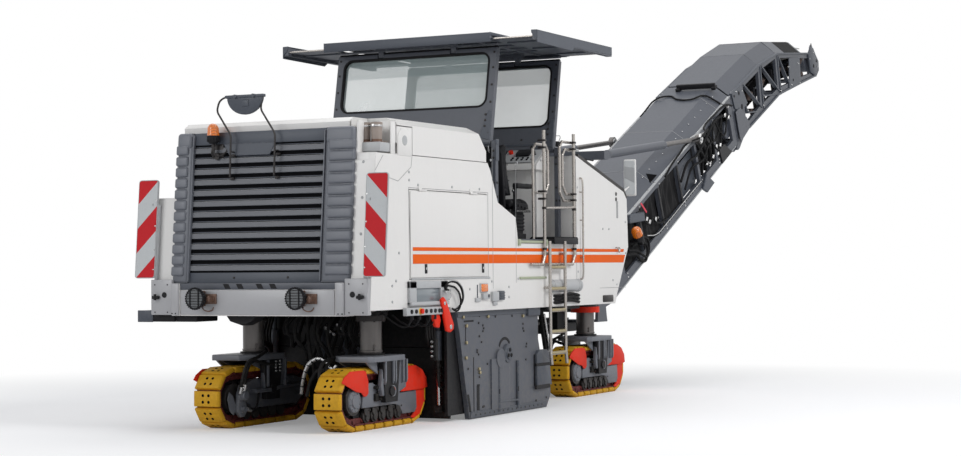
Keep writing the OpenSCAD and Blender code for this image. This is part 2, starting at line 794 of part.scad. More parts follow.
// Mast that holds the upper swivel
module conveyor_mast() {
    color(grey_paint) difference() {
        union() {
            both_sides() side_outline([[nose_x + hair, 2150], [nose_x + hair, 2380],
                [slew_x - 60, mast_low + 80],
                [slew_x - 60, mast_low]], 120, 180);
            block([slew_x - 200, slew_x - 60], [-180, 180], [mast_low, mast_low + 80]);
            cyl_z(slew_x, 0, 110, mast_low, mast_low + 80);
            block([slew_x - 120, slew_x], [-110, 110], [mast_low, mast_low + 80]);
        }
        cyl_z(slew_x, 0, mast_pin_r + pin_gap, mast_low - 1, mast_low + 81);
    }
}

// Slewing bracket: lower yoke, upper swivel with the cylinders' ears
module slew_bracket() {
    ear = [conveyor_half + 12, conveyor_half + 50];
    color(grey_paint) difference() {
        union() {
            cyl_z(slew_x, 0, 160, tongue_high + 5, tongue_high + 50);
            cyl_z(slew_x, 0, slew_pin_r, tongue_low - 20, tongue_high + 20);
            block([slew_x - 120, slew_x + 160], [-ear[1], ear[1]], [tongue_high + 5, tongue_high + 30]);
            both_sides() side_outline([[slew_x - 120, tongue_high + 5], [slew_x - 90, lift_z + 70],
                [slew_x + 90, lift_z + 70], [slew_x + 160, tongue_high + 5]], ear[0], ear[1]);
            // Upper swivel
            cyl_z(slew_x, 0, mast_pin_r, mast_low - 20, cyl_z + 40);
            cyl_z(slew_x, 0, 105, mast_low + 86, cyl_z + 40);
            block([slew_x - 80, slew_x + 25], [-cyl_y - 70, cyl_y + 70], [cyl_z - 60, cyl_z + 40]);
            both_sides() for (y = [cyl_y - 70, cyl_y + 45])
                side_outline([[slew_x + 24, cyl_z - 50], [slew_x + 24, cyl_z + 38], [cyl_x + 38, cyl_z + 38],
                    [cyl_x + 38, cyl_z - 38]], y, y + 25);
        }
        both_sides() {
            cyl_y(slew_x, lift_z, lift_pin_r + pin_gap, ear[0] - 1, ear[1] + 1);
            cyl_y(cyl_x, cyl_z, cyl_pin_r + pin_gap, cyl_y - 71, cyl_y + 71);
        }
    }
}

// Lift cylinders; each points from its swivel ear to the eye on the conveyor
eye_x = slew_x + eye_u * cos(conveyor_slope) - (chord_top - 6) * sin(conveyor_slope);
eye_z = lift_z + eye_u * sin(conveyor_slope) + (chord_top - 6) * cos(conveyor_slope);
cyl_angle = atan2(eye_z - cyl_z, eye_x - cyl_x);
cyl_full = norm([eye_x - cyl_x, eye_z - cyl_z]);
module lift_cylinders() {
    color(grey_paint) both_sides() translate([cyl_x, cyl_y, cyl_z]) rotate([0, -cyl_angle, 0]) {
        difference() {
            union() {
                rotate([90, 0, 0]) cylinder(r = 40, h = 84, center = true);
                translate([0, -40, -30]) cube([cyl_neck + 2, 80, 60]);
                translate([cyl_neck, 0, 0]) rotate([0, 90, 0]) cylinder(r = cyl_r, h = cyl_barrel - cyl_neck);
            }
            translate([200, 0, 0]) rotate([0, 90, 0]) cylinder(r = rod_r + pin_gap, h = cyl_barrel);
        }
        rotate([90, 0, 0]) cylinder(r = cyl_pin_r, h = 138, center = true);
    }
}

module lift_rods() {
    color(steel) both_sides() translate([cyl_x, cyl_y, cyl_z]) rotate([0, -cyl_angle, 0]) {
        translate([cyl_rod_in, 0, 0]) rotate([0, 90, 0])
            cylinder(r = rod_r, h = cyl_full - cyl_rod_in - eye_r + 8);
        difference() {
            translate([cyl_full, 0, 0]) rotate([90, 0, 0]) cylinder(r = eye_r, h = 60, center = true);
            translate([cyl_full, 0, 0]) rotate([90, 0, 0]) cylinder(r = eye_pin_r + eye_play, h = 62,
                center = true);
        }
    }
}

// Lower conveyor section: two side frames, belly, pins
lower_tail = -250;
tail_top = 235;
lower_bays = 6;
lower_pulley = [100, 90];
lower_pulley_r = 120;
// Underside of the tail: u, w
TAIL_LOW = [[-250, 0], [-180, -60], [0, -130], [330, chord_low]];
frame_t = 45;
frame_inner = conveyor_half - frame_t;
lower_end = fold_u - seam / 2;
bay0 = 900;
bay_w = (lower_end - 80 - bay0) / lower_bays;
module conveyor_lower_sides() {
    inner = frame_inner;
    end = lower_end;
    color(grey_paint) on_slope() difference() {
        union() {
            both_sides() {
                difference() {
                    side_outline(concat(TAIL_LOW, [[end, chord_low], [end, chord_top], [820, chord_top],
                        [620, tail_top], [lower_tail, tail_top]]), inner, conveyor_half);
                    for (i = [0 : lower_bays - 1])
                        block([bay0 + i * bay_w, bay0 + (i + 1) * bay_w - 70], [inner - 1, conveyor_half + 1],
                            [chord_low + 120, chord_top - 60]);
                }
                // Lift pin and the cylinder's eye pin
                cyl_y(0, 0, lift_pin_r, conveyor_half, conveyor_half + 48);
                cyl_y(eye_u, chord_top - 6, eye_pin_r, conveyor_half, cyl_y + 36);
                block([eye_u - 90, eye_u + 90], [inner, conveyor_half], [chord_top - 70, chord_top - 1]);
                // Fold hinge lugs under the end
                side_outline([[end - 330, chord_low + 60], [end, chord_low + 60], [fold_u + 45, fold_w + 10],
                    [fold_u + 30, fold_w - 45], [end - 60, fold_w - 45]], inner - 50, inner);
            }
        }
        both_sides() cyl_y(fold_u, fold_w, fold_pin_r + pin_gap, inner - 51, inner + 1);
    }
}

// Belly plates, tail plate and belt pulleys between the side frames
module conveyor_lower_belly() {
    inner = frame_inner - hair;
    color(grey_paint) on_slope() {
        side_outline(concat(TAIL_LOW, [[700, chord_low], [700, chord_low + 12]],
            [for (i = [3 : -1 : 0]) TAIL_LOW[i] + [2, 12]]), -inner, inner);
        for (i = [1 : lower_bays - 1])
            block([bay0 + i * bay_w - 60, bay0 + i * bay_w + 60], [-inner, inner],
                [chord_low, chord_low + 40]);
        block([lower_end - 60, lower_end], [-inner + 50, inner - 50], [chord_low, chord_low + 40]);
        block([lower_tail, lower_tail + 15], [-inner, inner], [0, tail_top]);
        for (u = [lower_pulley[0], lower_end - 190]) translate([u, 0, lower_pulley[1]]) rotate([90, 0, 0])
            cylinder(r = lower_pulley_r, h = 2 * inner, center = true);
    }
}

// Belt as a closed loop: its middle line runs from pulley to pulley, with bends between
belt_t = 12;
function segment_normal(p, q) = let (d = (q - p) / norm(q - p)) [-d[1], d[0]];
function miter(line, i) = i == 0 ? segment_normal(line[0], line[1])
    : i == len(line) - 1 ? segment_normal(line[i - 1], line[i])
    : let (a = segment_normal(line[i - 1], line[i]), b = segment_normal(line[i], line[i + 1]))
        (a + b) / (1 + a * b);

function direction(p, q) = atan2(q[1] - p[1], q[0] - p[0]);
function arc_points(c, r, from, to, n) =
    [for (k = [0 : n]) c + r * [cos(from + (to - from) * k / n), sin(from + (to - from) * k / n)]];
arc_steps = 24;

module belt_area(line, r) {
    last = len(line) - 1;
    d0 = direction(line[0], line[1]);
    d1 = direction(line[last - 1], line[last]);
    polygon(concat(
        last > 1 ? [for (i = [1 : last - 1]) line[i] + r * miter(line, i)] : [],
        arc_points(line[last], r, d1 + 90, d1 - 90, arc_steps),
        last > 1 ? [for (i = [last - 1 : -1 : 1]) line[i] - r * miter(line, i)] : [],
        arc_points(line[0], r, d0 - 90, d0 - 270, arc_steps)));
}

module belt(line, r, half) {
    translate([0, half, 0]) rotate([90, 0, 0]) linear_extrude(2 * half) difference() {
        belt_area(line, r + hair + belt_t);
        belt_area(line, r + hair);
    }
}

module conveyor_lower_belt() {
    color(frame_black) on_slope()
        belt([lower_pulley, [fold_u - seam / 2 - 190, lower_pulley[1]]], lower_pulley_r, belt_half);
}

// Covers with a flat top and slanted sides
cover_t = 12;
cover_flat = 330;
cover_rise = 180;
cover_base = conveyor_half - 15;
cover_end = 3420;
COVER_POINTS = [
    [-cover_base, hair], [-cover_flat, cover_rise], [cover_flat, cover_rise], [cover_base, hair],
    [cover_base - 20, hair], [cover_flat - 4, cover_rise - cover_t],
    [-cover_flat + 4, cover_rise - cover_t], [-cover_base + 20, hair]
];
module cover_piece(p, q) {
    d = q - p;
    translate([p[0], 0, p[1]]) rotate([0, -atan2(d[1], d[0]), 0])
        cross_outline(COVER_POINTS, 0, norm(d));
}

module conveyor_lower_cover() {
    color(grey_paint) on_slope() cover_piece([880, chord_top], [fold_u - 20, chord_top]);
}

// Upper conveyor section, bent as the side outline says
module conveyor_upper_sides() {
    inner = frame_inner;
    u0 = fold_u;
    low = [for (p = UPPER_LOW) [u0 + p[0] + (p[0] == 0 ? seam / 2 : 0), p[1]]];
    top = [for (p = UPPER_TOP) [u0 + p[0] + (p[0] == 0 ? seam / 2 : 0), p[1]]];
    color(grey_paint) on_slope() {
        both_sides() {
            difference() {
                side_outline(concat(low, top), inner, conveyor_half);
                side_outline([[u0 + 480, -90], [u0 + 1180, -70], [u0 + 1300, 410], [u0 + 560, 440]],
                    inner - 1, conveyor_half + 1);
                side_outline([[u0 + 1260, -80], [u0 + 2040, -130], [u0 + 2120, 310], [u0 + 1390, 400]],
                    inner - 1, conveyor_half + 1);
                side_outline([[u0 + 2130, -150], [u0 + 2780, -290], [u0 + 2860, 60], [u0 + 2210, 290]],
                    inner - 1, conveyor_half + 1);
                side_outline([[u0 + 3180, -370], [u0 + 3640, -480], [u0 + 3700, -250], [u0 + 3260, -90]],
                    inner - 1, conveyor_half + 1);
            }
            // Hinge lugs beside those of the lower section, with their pins
            side_outline([[u0 + seam / 2, chord_low + 100], [u0 + 330, chord_low], [u0 + 60, fold_w - 39],
                [u0, fold_w - 39], [u0, fold_w + 39]], inner + 2, conveyor_half - 2);
            cyl_y(u0, fold_w, 39, inner + 2, conveyor_half - 2);
            cyl_y(u0, fold_w, fold_pin_r, inner - 55, conveyor_half - 4);
        }
    }
}

// Cross members and belt pulleys between the side frames
module conveyor_upper_rollers() {
    inner = frame_inner - hair;
    color(grey_paint) on_slope() {
        for (p = [[60, chord_low], [1180, -178], [2060, -226], [3100, -425]])
            block([fold_u + p[0], fold_u + p[0] + 60], [-inner, inner], [p[1], p[1] + 45]);
        for (p = [UPPER_BELT[0], UPPER_BELT[2]])
            translate([fold_u + p[0], 0, p[1]]) rotate([90, 0, 0])
                cylinder(r = upper_pulley_r, h = 2 * inner, center = true);
    }
}

module conveyor_upper_cover() {
    color(grey_paint) on_slope() {
        cover_piece([fold_u + 20, chord_top], [fold_u + 1396, chord_top - 51]);
        cover_piece([fold_u + 1392, chord_top - 51], [fold_u + 2208, chord_top - 151]);
        cover_piece([fold_u + 2204, chord_top - 147], [fold_u + cover_end, chord_top - 579]);
    }
}

// The upper belt follows the bend of its frame: u, w from the fold
UPPER_BELT = [[230, 130], [2150, 80], [3680, -330]];
upper_pulley_r = 125;
module conveyor_upper_belt() {
    color(frame_black) on_slope()
        belt([for (p = UPPER_BELT) [fold_u + p[0], p[1]]], upper_pulley_r, belt_half);
}

// Canopy walls stand on their lower hinges and lean forward
module on_wall(x) {
    translate([x, 0, wall_hinge_z]) rotate([0, wall_lean, 0]) children();
}

// Window: lower edge, upper edge and half width in the wall
REAR_WINDOW = [379, 935, 845];
FRONT_WINDOW = [265, 935, 845];
window_r = 90;
module window_shape(w, shrink) {
    translate([-w[2] + shrink, w[0] + shrink])
        round_rect([2 * (w[2] - shrink), w[1] - w[0] - 2 * shrink], window_r - shrink);
}

module canopy_wall(window) {
    difference() {
        union() {
            rotate([90, 0, 90]) translate([0, 0, -wall_t / 2]) linear_extrude(wall_t) difference() {
                translate([-wall_half, 0]) square([2 * wall_half, wall_reach + 15]);
                window_shape(window, 0);
            }
            cyl_y(0, 0, 26, -wall_half, wall_half);
        }
        // Slots for the roof's lugs
        both_sides() block([-wall_t, wall_t], [lug_y - lug_half - 5, lug_y + lug_half + 5],
            [wall_reach - 27, wall_reach + 16]);
    }
    both_sides() {
        cyl_y(0, 0, wall_pin_r, wall_half - 10, post_y[1] + 4);
        cyl_y(0, wall_reach, wall_pin_r, lug_y - lug_half - 6, lug_y + lug_half + 6);
    }
}

module wall_glass(window) {
    rotate([90, 0, 90]) translate([0, 0, -glass_t / 2]) linear_extrude(glass_t)
        window_shape(window, hair);
}

module canopy_rear_wall() { color(grey_paint) on_wall(wall_rear_x) canopy_wall(REAR_WINDOW); }
module canopy_rear_glass() { color([0.8, 0.9, 0.9, 0.4]) on_wall(wall_rear_x) wall_glass(REAR_WINDOW); }
module canopy_front_wall() { color(grey_paint) on_wall(wall_front_x) canopy_wall(FRONT_WINDOW); }
module canopy_front_glass() { color([0.8, 0.9, 0.9, 0.4]) on_wall(wall_front_x) wall_glass(FRONT_WINDOW); }

// Fixed roof with lugs on the walls' upper pins and guides for the panel rods
rod_z = roof_top - 60;
panel_rod_r = 9;
panel_rods = [roof_rear + 45, roof_front - 65];
module canopy_roof() {
    color(grey_paint) difference() {
        union() {
            block([roof_rear, roof_front], [-roof_half, roof_half], [roof_top - roof_skin, roof_top]);
            for (x = [[roof_rear, roof_rear + 15], [roof_front - 15, roof_front]])
                block(x, [-roof_half, roof_half], [roof_top - fascia_depth, roof_top]);
            both_sides() {
                for (x = [wall_rear_x, wall_front_x]) {
                    block([x + roof_pin_dx - 20, x + roof_pin_dx + 20], [lug_y - lug_half, lug_y + lug_half],
                        [roof_pin_z, roof_top - 5]);
                    cyl_y(x + roof_pin_dx, roof_pin_z, 22, lug_y - lug_half, lug_y + lug_half);
                }
                for (x = panel_rods)
                    block([x - 18, x + 18], [roof_half - 120, roof_half - 10], [rod_z - 16, roof_top - 5]);
            }
        }
        both_sides() {
            for (x = [wall_rear_x, wall_front_x])
                cyl_y(x + roof_pin_dx, roof_pin_z, wall_pin_r + pin_gap, lug_y - 60, lug_y + 60);
            for (x = panel_rods)
                cyl_y(x, rod_z, panel_rod_r + pin_gap, roof_half - 130, roof_half + 1);
        }
    }
}

// Roof panels that slide in and out on two rods
module roof_panel(side) {
    color(grey_paint) on_side(side) {
        block([roof_rear + 75, roof_front - 95], [roof_half - 35, panel_outer - 40], [rod_z - 8, rod_z + 8]);
        block([roof_rear + 20, roof_front - 40], [panel_outer - 58, panel_outer],
            [roof_top - 100, roof_top - 8]);
        for (x = panel_rods)
            cyl_y(x, rod_z, panel_rod_r, roof_half - panel_travel + 30, panel_outer - 50);
    }
}

module right_roof_panel() { roof_panel(RIGHT); }
module left_roof_panel() { roof_panel(LEFT); }

// A point on the track's oval path at distance s, and the outward direction there
function oval_at(s, r) =
    let (half = track_straight / 2, arc = PI * track_r, total = 2 * track_straight + 2 * arc,
        d = s % total)
    d < track_straight ? [d - half, track_r - r]
    : d < track_straight + arc ? let (a = -90 + (d - track_straight) / arc * 180)
        [half + r * cos(a), track_r + r * sin(a)]
    : d < 2 * track_straight + arc ? [half - (d - track_straight - arc), track_r + r]
    : let (a = 90 + (d - 2 * track_straight - arc) / arc * 180)
        [-half + r * cos(a), track_r + r * sin(a)];

// Track loop: chain ring with its shoes in the outline
module track_loop() {
    total = 2 * track_straight + 2 * PI * track_r;
    pitch = total / shoe_count;
    steps = 4;
    land = (pitch - shoe_notch) / steps;
    outline = [for (i = [0 : shoe_count - 1]) each concat(
        [oval_at(i * pitch, track_r - shoe_depth)],
        [for (k = [0 : steps]) oval_at(i * pitch + shoe_notch / 2 + k * land, track_r)],
        [oval_at((i + 1) * pitch - 0.01, track_r - shoe_depth)])];
    rotate([90, 0, 0]) linear_extrude(shoe_width, center = true) difference() {
        polygon(outline);
        for (x = [-track_straight / 2, track_straight / 2])
            translate([x, track_r]) circle(r = track_r - chain_depth);
        translate([-track_straight / 2, chain_depth])
            square([track_straight, track_height - 2 * chain_depth]);
    }
}

// Column, fork and roller frame of one track unit
module track_frame() {
    wheel_r = track_r - chain_depth - hair;
    cyl_z(0, 0, column_r, fork_top - 5, column_high);
    cyl_z(0, 0, column_r + 28, fork_top - 5, fork_top + 28);
    block([-fork_half_x, fork_half_x], [-fork_outer, fork_outer], [fork_top - fork_plate, fork_top]);
    both_sides() side_outline([[-fork_half_x, fork_top - fork_plate], [-110, 240], [110, 240],
        [fork_half_x, fork_top - fork_plate]], fork_inner, fork_outer);
    cyl_y(0, track_pin_z, track_pin_r, -fork_outer - 12, fork_outer + 12);
    // Roller frame with sprocket, idler and rollers
    block([-track_straight / 2 + 60, track_straight / 2 - 60], [-70, 70], [track_r - 90, track_r + 110]);
    for (x = [-track_straight / 2, track_straight / 2]) {
        cyl_y(x, track_r, wheel_r, -45, 45);
        cyl_y(x, track_r, 90, -115, 115);
        block([min(x, x * 0.8), max(x, x * 0.8)], [-70, 70], [track_r - 60, track_r + 60]);
    }
    for (i = [-3 : 3]) cyl_y(i * 135, chain_depth + roller_r + hair, roller_r, -80, 80);
}

module rear_right_track_frame() { color(frame_black) translate([0, -track_offset, 0]) track_frame(); }
module rear_left_track_frame() { color(frame_black) translate([0, track_offset, 0]) track_frame(); }
module front_right_track_frame() {
    color(frame_black) translate([wheelbase, -track_offset, 0]) track_frame();
}
module front_left_track_frame() { color(frame_black) translate([wheelbase, track_offset, 0]) track_frame(); }
module rear_right_track() { color("gold") translate([0, -track_offset, 0]) track_loop(); }
module rear_left_track() { color("gold") translate([0, track_offset, 0]) track_loop(); }
module front_right_track() { color("gold") translate([wheelbase, -track_offset, 0]) track_loop(); }
module front_left_track() { color("gold") translate([wheelbase, track_offset, 0]) track_loop(); }

at_origin() main_frame();
at_origin() rear_bumper();
at_origin() radiator_grille();
at_origin() engine_block();
at_origin() right_side_body();
at_origin() left_side_body();
at_origin() water_tank();
at_origin() exhaust_pipes();
at_origin() operator_platform();
at_origin() handrails();
at_origin() ladders();
at_origin() seat_frames();
at_origin() seat_cushions();
at_origin() control_consoles();
at_origin() warning_signs();
at_origin() mirrors();
at_origin() beacons();
at_origin() work_lights();
at_origin() drum_housing();
at_origin() scraper_blade();
at_origin() primary_conveyor();
at_origin() conveyor_mast();
at_origin() engine_hood();
at_origin() right_service_door();
at_origin() left_service_door();
at_origin() milling_drum();
at_origin() right_side_plate();
at_origin() left_side_plate();
at_origin() rear_right_track_frame();
at_origin() rear_left_track_frame();
at_origin() front_right_track_frame();
at_origin() front_left_track_frame();
at_origin() rear_right_track();
at_origin() rear_left_track();
at_origin() front_right_track();
at_origin() front_left_track();
at_origin() canopy_rear_wall();
at_origin() canopy_rear_glass();
at_origin() canopy_front_wall();
at_origin() canopy_front_glass();
at_origin() canopy_roof();
at_origin() right_roof_panel();
at_origin() left_roof_panel();
at_origin() slew_bracket();
at_origin() lift_cylinders();
at_origin() lift_rods();
at_origin() conveyor_lower_sides();
at_origin() conveyor_lower_belly();
at_origin() conveyor_lower_cover();
at_origin() conveyor_lower_belt();
at_origin() conveyor_upper_sides();
at_origin() conveyor_upper_rollers();
at_origin() conveyor_upper_cover();
at_origin() conveyor_upper_belt();
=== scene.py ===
"""Finishes and detail of a cold planer on four tracks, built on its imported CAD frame."""
import json
import math

import bmesh
import bpy
from mathutils import Matrix, Vector


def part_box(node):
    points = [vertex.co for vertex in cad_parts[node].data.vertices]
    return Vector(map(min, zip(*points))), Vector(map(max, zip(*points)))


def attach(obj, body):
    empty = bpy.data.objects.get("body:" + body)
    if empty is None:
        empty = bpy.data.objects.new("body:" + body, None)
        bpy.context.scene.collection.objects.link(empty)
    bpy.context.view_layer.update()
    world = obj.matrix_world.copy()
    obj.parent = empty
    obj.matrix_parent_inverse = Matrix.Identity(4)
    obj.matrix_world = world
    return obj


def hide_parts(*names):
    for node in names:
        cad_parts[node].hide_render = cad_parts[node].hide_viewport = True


bl_info = {
    "name": "Cold Planer",
    "version": (1, 0, 0),
    "blender": (4, 5, 0),
    "location": "View3D > Sidebar > Planer",
    "description": "Finishes and detail of a cold planer on its CAD frame",
    "category": "Add Mesh",
}

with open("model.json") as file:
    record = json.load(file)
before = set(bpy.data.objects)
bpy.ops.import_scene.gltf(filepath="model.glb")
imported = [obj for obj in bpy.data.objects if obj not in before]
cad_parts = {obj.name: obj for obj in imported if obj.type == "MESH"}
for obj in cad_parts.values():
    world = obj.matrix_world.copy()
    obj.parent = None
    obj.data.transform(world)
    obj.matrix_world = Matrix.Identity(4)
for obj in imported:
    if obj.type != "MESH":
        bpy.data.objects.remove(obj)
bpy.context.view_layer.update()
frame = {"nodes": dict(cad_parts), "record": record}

# Every shape is drawn with x = 0 at the rear columns, and placed by REAR
REAR = sum(corner[0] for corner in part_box("rear_right_track")) / 2
WHEELBASE = sum(corner[0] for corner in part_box("front_right_track")) / 2 - REAR
TRACK_Y = 0.64
# The photo's camera from the rear columns, its turns in degrees, and its lens in millimetres
CAMERA = Vector((-15.432 + REAR, -9.579, 1.472))
YAW, PITCH, ROLL = 26.823, 1.115, -0.529
LENS = 72.69
SIDE_Y = 1.15
SKIN = Matrix.Translation((0, -SIDE_Y, 0))
LEAN = Matrix.Translation((-0.866, 0, 1.3396)) @ Matrix.Rotation(math.radians(4.9), 4, "Y")
SLOPE = Matrix.Translation((WHEELBASE + 0.58, 0, 1.05)) @ Matrix.Rotation(math.radians(-24.9), 4, "Y")
WALLS = {"canopy_rear": 1.93, "canopy_front": 3.43}


# Shapes


def block(bm, x, y, z, edge=0.0, parts=2):
    """A block between two corners, its edges rounded"""
    verts = bmesh.ops.create_cube(bm, size=1)["verts"]
    bmesh.ops.scale(bm, vec=(x[1] - x[0], y[1] - y[0], z[1] - z[0]), verts=verts)
    bmesh.ops.translate(bm, vec=(sum(x) / 2, sum(y) / 2, sum(z) / 2), verts=verts)
    return soften(bm, verts, edge, parts)


def soften(bm, verts, edge, parts=2):
    """Bevel the edges of a shape and return its points"""
    if not edge:
        return verts
    edges = list({e for v in verts for e in v.link_edges})
    got = bmesh.ops.bevel(
        bm, geom=edges, offset=edge, offset_type="OFFSET", segments=parts, profile=0.5,
        affect="EDGES", material=-1, clamp_overlap=True,
    )
    return list({v for f in got["faces"] for v in f.verts})


def rod(bm, p, q, r, r2=None, sides=16):
    """A round or tapered bar between two points"""
    p, q = Vector(p), Vector(q)
    turn = (q - p).to_track_quat("Z", "Y").to_matrix().to_4x4()
    return bmesh.ops.create_cone(
        bm, cap_ends=True, cap_tris=False, segments=sides, radius1=r,
        radius2=r if r2 is None else r2, depth=(q - p).length,
        matrix=Matrix.Translation((p + q) / 2) @ turn,
    )["verts"]


def ball(bm, centre, r, sides=12):
    """A round knob"""
    return bmesh.ops.create_uvsphere(
        bm, u_segments=sides, v_segments=sides // 2 + 1, radius=r, matrix=Matrix.Translation(centre)
    )["verts"]


def outline(bm, axis, points, a, b, edge=0.0, parts=1):
    """A flat outline in the other two axes, pushed from a to b along this one"""
    spots = {
        "x": [(a, p[0], p[1]) for p in points],
        "y": [(p[0], a, p[1]) for p in points],
        "z": [(p[0], p[1], a) for p in points],
    }[axis]
    face = bm.faces.new([bm.verts.new(s) for s in spots])
    first = list(face.verts)
    got = bmesh.ops.extrude_face_region(bm, geom=[face])
    moved = [v for v in got["geom"] if isinstance(v, bmesh.types.BMVert)]
    bmesh.ops.translate(bm, vec=Vector([(b - a) * (axis == n) for n in "xyz"]), verts=moved)
    return soften(bm, first + moved, edge, parts)


def rounded(a, b, r, parts=6):
    """Corner points of a rectangle between two places, its corners round"""
    spots = []
    for k, (u, v) in enumerate(((b[0] - r, b[1] - r), (a[0] + r, b[1] - r), (a[0] + r, a[1] + r),
        (b[0] - r, a[1] + r))):
        for i in range(parts + 1):
            turn = math.radians(90 * (k + i / parts))
            spots.append((u + r * math.cos(turn), v + r * math.sin(turn)))
    return spots


def rim(bm, axis, outer, inner, a, b):
    """A closed band between two outlines of as many points, pushed from a to b"""
    edges = []
    for points in (outer, inner):
        spots = [(a, *p) if axis == "x" else (p[0], a, p[1]) for p in points]
        verts = [bm.verts.new(spot) for spot in spots]
        edges += [bm.edges.new((v, w)) for v, w in zip(verts, verts[1:] + verts[:1])]
    faces = bmesh.ops.bridge_loops(bm, edges=edges)["faces"]
    got = bmesh.ops.extrude_face_region(bm, geom=faces)
    moved = [v for v in got["geom"] if isinstance(v, bmesh.types.BMVert)]
    bmesh.ops.translate(bm, vec=Vector([(b - a) * (axis == n) for n in "xyz"]), verts=moved)


def tube(bm, points, r, sides=10, bend=0.0, fine=4):
    """A round tube through points: straight with round bends, or one smooth line where bend is nought"""
    curve = bpy.data.curves.new("run", "CURVE")
    curve.dimensions = "3D"
    curve.resolution_u = fine
    curve.bevel_depth = r
    curve.bevel_resolution = max(0, sides // 2 - 2)
    curve.use_fill_caps = True
    spline = curve.splines.new("BEZIER")
    points = [Vector(p) for p in points]
    if not bend:
        spline.bezier_points.add(len(points) - 1)
        for knot, p in zip(spline.bezier_points, points):
            knot.co = p
            knot.handle_left_type = knot.handle_right_type = "AUTO"
    else:
        knots = [(points[0], points[0], points[0])]
        for before, p, after in zip(points, points[1:], points[2:]):
            back, on = before - p, after - p
            start = p + back.normalized() * min(bend, back.length * 0.45)
            end = p + on.normalized() * min(bend, on.length * 0.45)
            knots.append((start, start, start.lerp(p, 0.55)))
            knots.append((end.lerp(p, 0.55), end, end))
        knots.append((points[-1], points[-1], points[-1]))
        spline.bezier_points.add(len(knots) - 1)
        for knot, (left, p, right) in zip(spline.bezier_points, knots):
            knot.handle_left_type = knot.handle_right_type = "FREE"
            knot.co, knot.handle_left, knot.handle_right = p, left, right
    holder = bpy.data.objects.new("run", curve)
    mesh = bpy.data.meshes.new_from_object(holder)
    old = set(bm.verts)
    bm.from_mesh(mesh)
    bpy.data.objects.remove(holder)
    bpy.data.curves.remove(curve)
    bpy.data.meshes.remove(mesh)
    fresh = [v for v in bm.verts if v not in old]
    bmesh.ops.remove_doubles(bm, verts=fresh, dist=1e-5)
    return [v for v in bm.verts if v not in old]


def bolt(bm, at, out, r=0.012, high=0.008):
    """A hexagon bolt head on its washer"""
    at, out = Vector(at), Vector(out).normalized()
    rod(bm, at - out * 0.002, at + out * 0.003, r * 1.35, sides=10)
    rod(bm, at, at + out * high, r, sides=6)


def turned(bm, verts, matrix):
    """Move a shape by a matrix"""
    bmesh.ops.transform(bm, matrix=matrix, verts=verts)
    return verts


def both_sides(bm):
    """Add the mirror image about the machine's middle plane"""
    got = bmesh.ops.duplicate(bm, geom=bm.verts[:] + bm.edges[:] + bm.faces[:])
    verts = [v for v in got["geom"] if isinstance(v, bmesh.types.BMVert)]
    bmesh.ops.scale(bm, vec=(1, -1, 1), verts=verts)


def piece(bm, name, look, at=None, body="chassis", stands_for=(), smooth=35, mirrored=False):
    """Turn a shape into a finished piece that rides on a body"""
    if at is not None:
        bmesh.ops.transform(bm, matrix=at, verts=bm.verts)
    if mirrored:
        bmesh.ops.scale(bm, vec=(1, -1, 1), verts=bm.verts)
    bmesh.ops.translate(bm, vec=(REAR, 0, 0), verts=bm.verts)
    bmesh.ops.recalc_face_normals(bm, faces=bm.faces)
    mesh = bpy.data.meshes.new(name)
    bm.to_mesh(mesh)
    bm.free()
    mesh.materials.append(LOOKS[look])
    mesh.shade_smooth()
    mesh.set_sharp_from_angle(angle=math.radians(smooth))
    made = bpy.data.objects.new(name, mesh)
    bpy.context.scene.collection.objects.link(made)
    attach(made, body)
    if stands_for:
        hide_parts(*stands_for)
    return made


# Finishes


def make(tree, kind, sockets=None, **settings):
    """Add a node; a socket takes a value or another node's output"""
    node = tree.nodes.new("ShaderNode" + kind)
    for name, value in settings.items():
        setattr(node, name, value)
    for name, source in (sockets or {}).items():
        if isinstance(source, bpy.types.NodeSocket):
            tree.links.new(source, node.inputs[name])
        else:
            node.inputs[name].default_value = source
    return node


def sum_up(tree, operation, a, b=0.0, c=0.0, clamp=False):
    """A math node's output"""
    return make(tree, "Math", {0: a, 1: b, 2: c}, operation=operation, use_clamp=clamp).outputs[0]


def blend_colours(tree, amount, a, b, blend_type="MIX"):
    """A colour mix's output"""
    return make(tree, "Mix", {0: amount, 6: a, 7: b}, data_type="RGBA", blend_type=blend_type).outputs[2]


def ramp(tree, value, low, high, out_low=0.0, out_high=1.0):
    """A value mapped from one range to another"""
    return make(
        tree, "MapRange", {0: value, 1: low, 2: high, 3: out_low, 4: out_high}, clamp=True
    ).outputs[0]


def noise(tree, scale, detail=2.0, stretch=(1, 1, 1), rough=0.5):
    """Noise over the object's own coordinates"""
    spot = make(tree, "TexCoord").outputs["Object"]
    spread = make(tree, "Mapping", {"Vector": spot, "Scale": stretch}).outputs[0]
    return make(
        tree, "TexNoise", {"Vector": spread, "Scale": scale, "Detail": detail, "Roughness": rough}
    ).outputs[0]


def new_group(name, inputs, outputs):
    """An empty node group with its sockets, and its input and output nodes"""
    tree = bpy.data.node_groups.new(name, "ShaderNodeTree")
    for label, kind, value in inputs:
        tree.interface.new_socket(label, in_out="INPUT",
            socket_type="NodeSocket" + kind).default_value = value
    for label, kind in outputs:
        tree.interface.new_socket(label, in_out="OUTPUT", socket_type="NodeSocket" + kind)
    return tree, tree.nodes.new("NodeGroupInput"), tree.nodes.new("NodeGroupOutput")


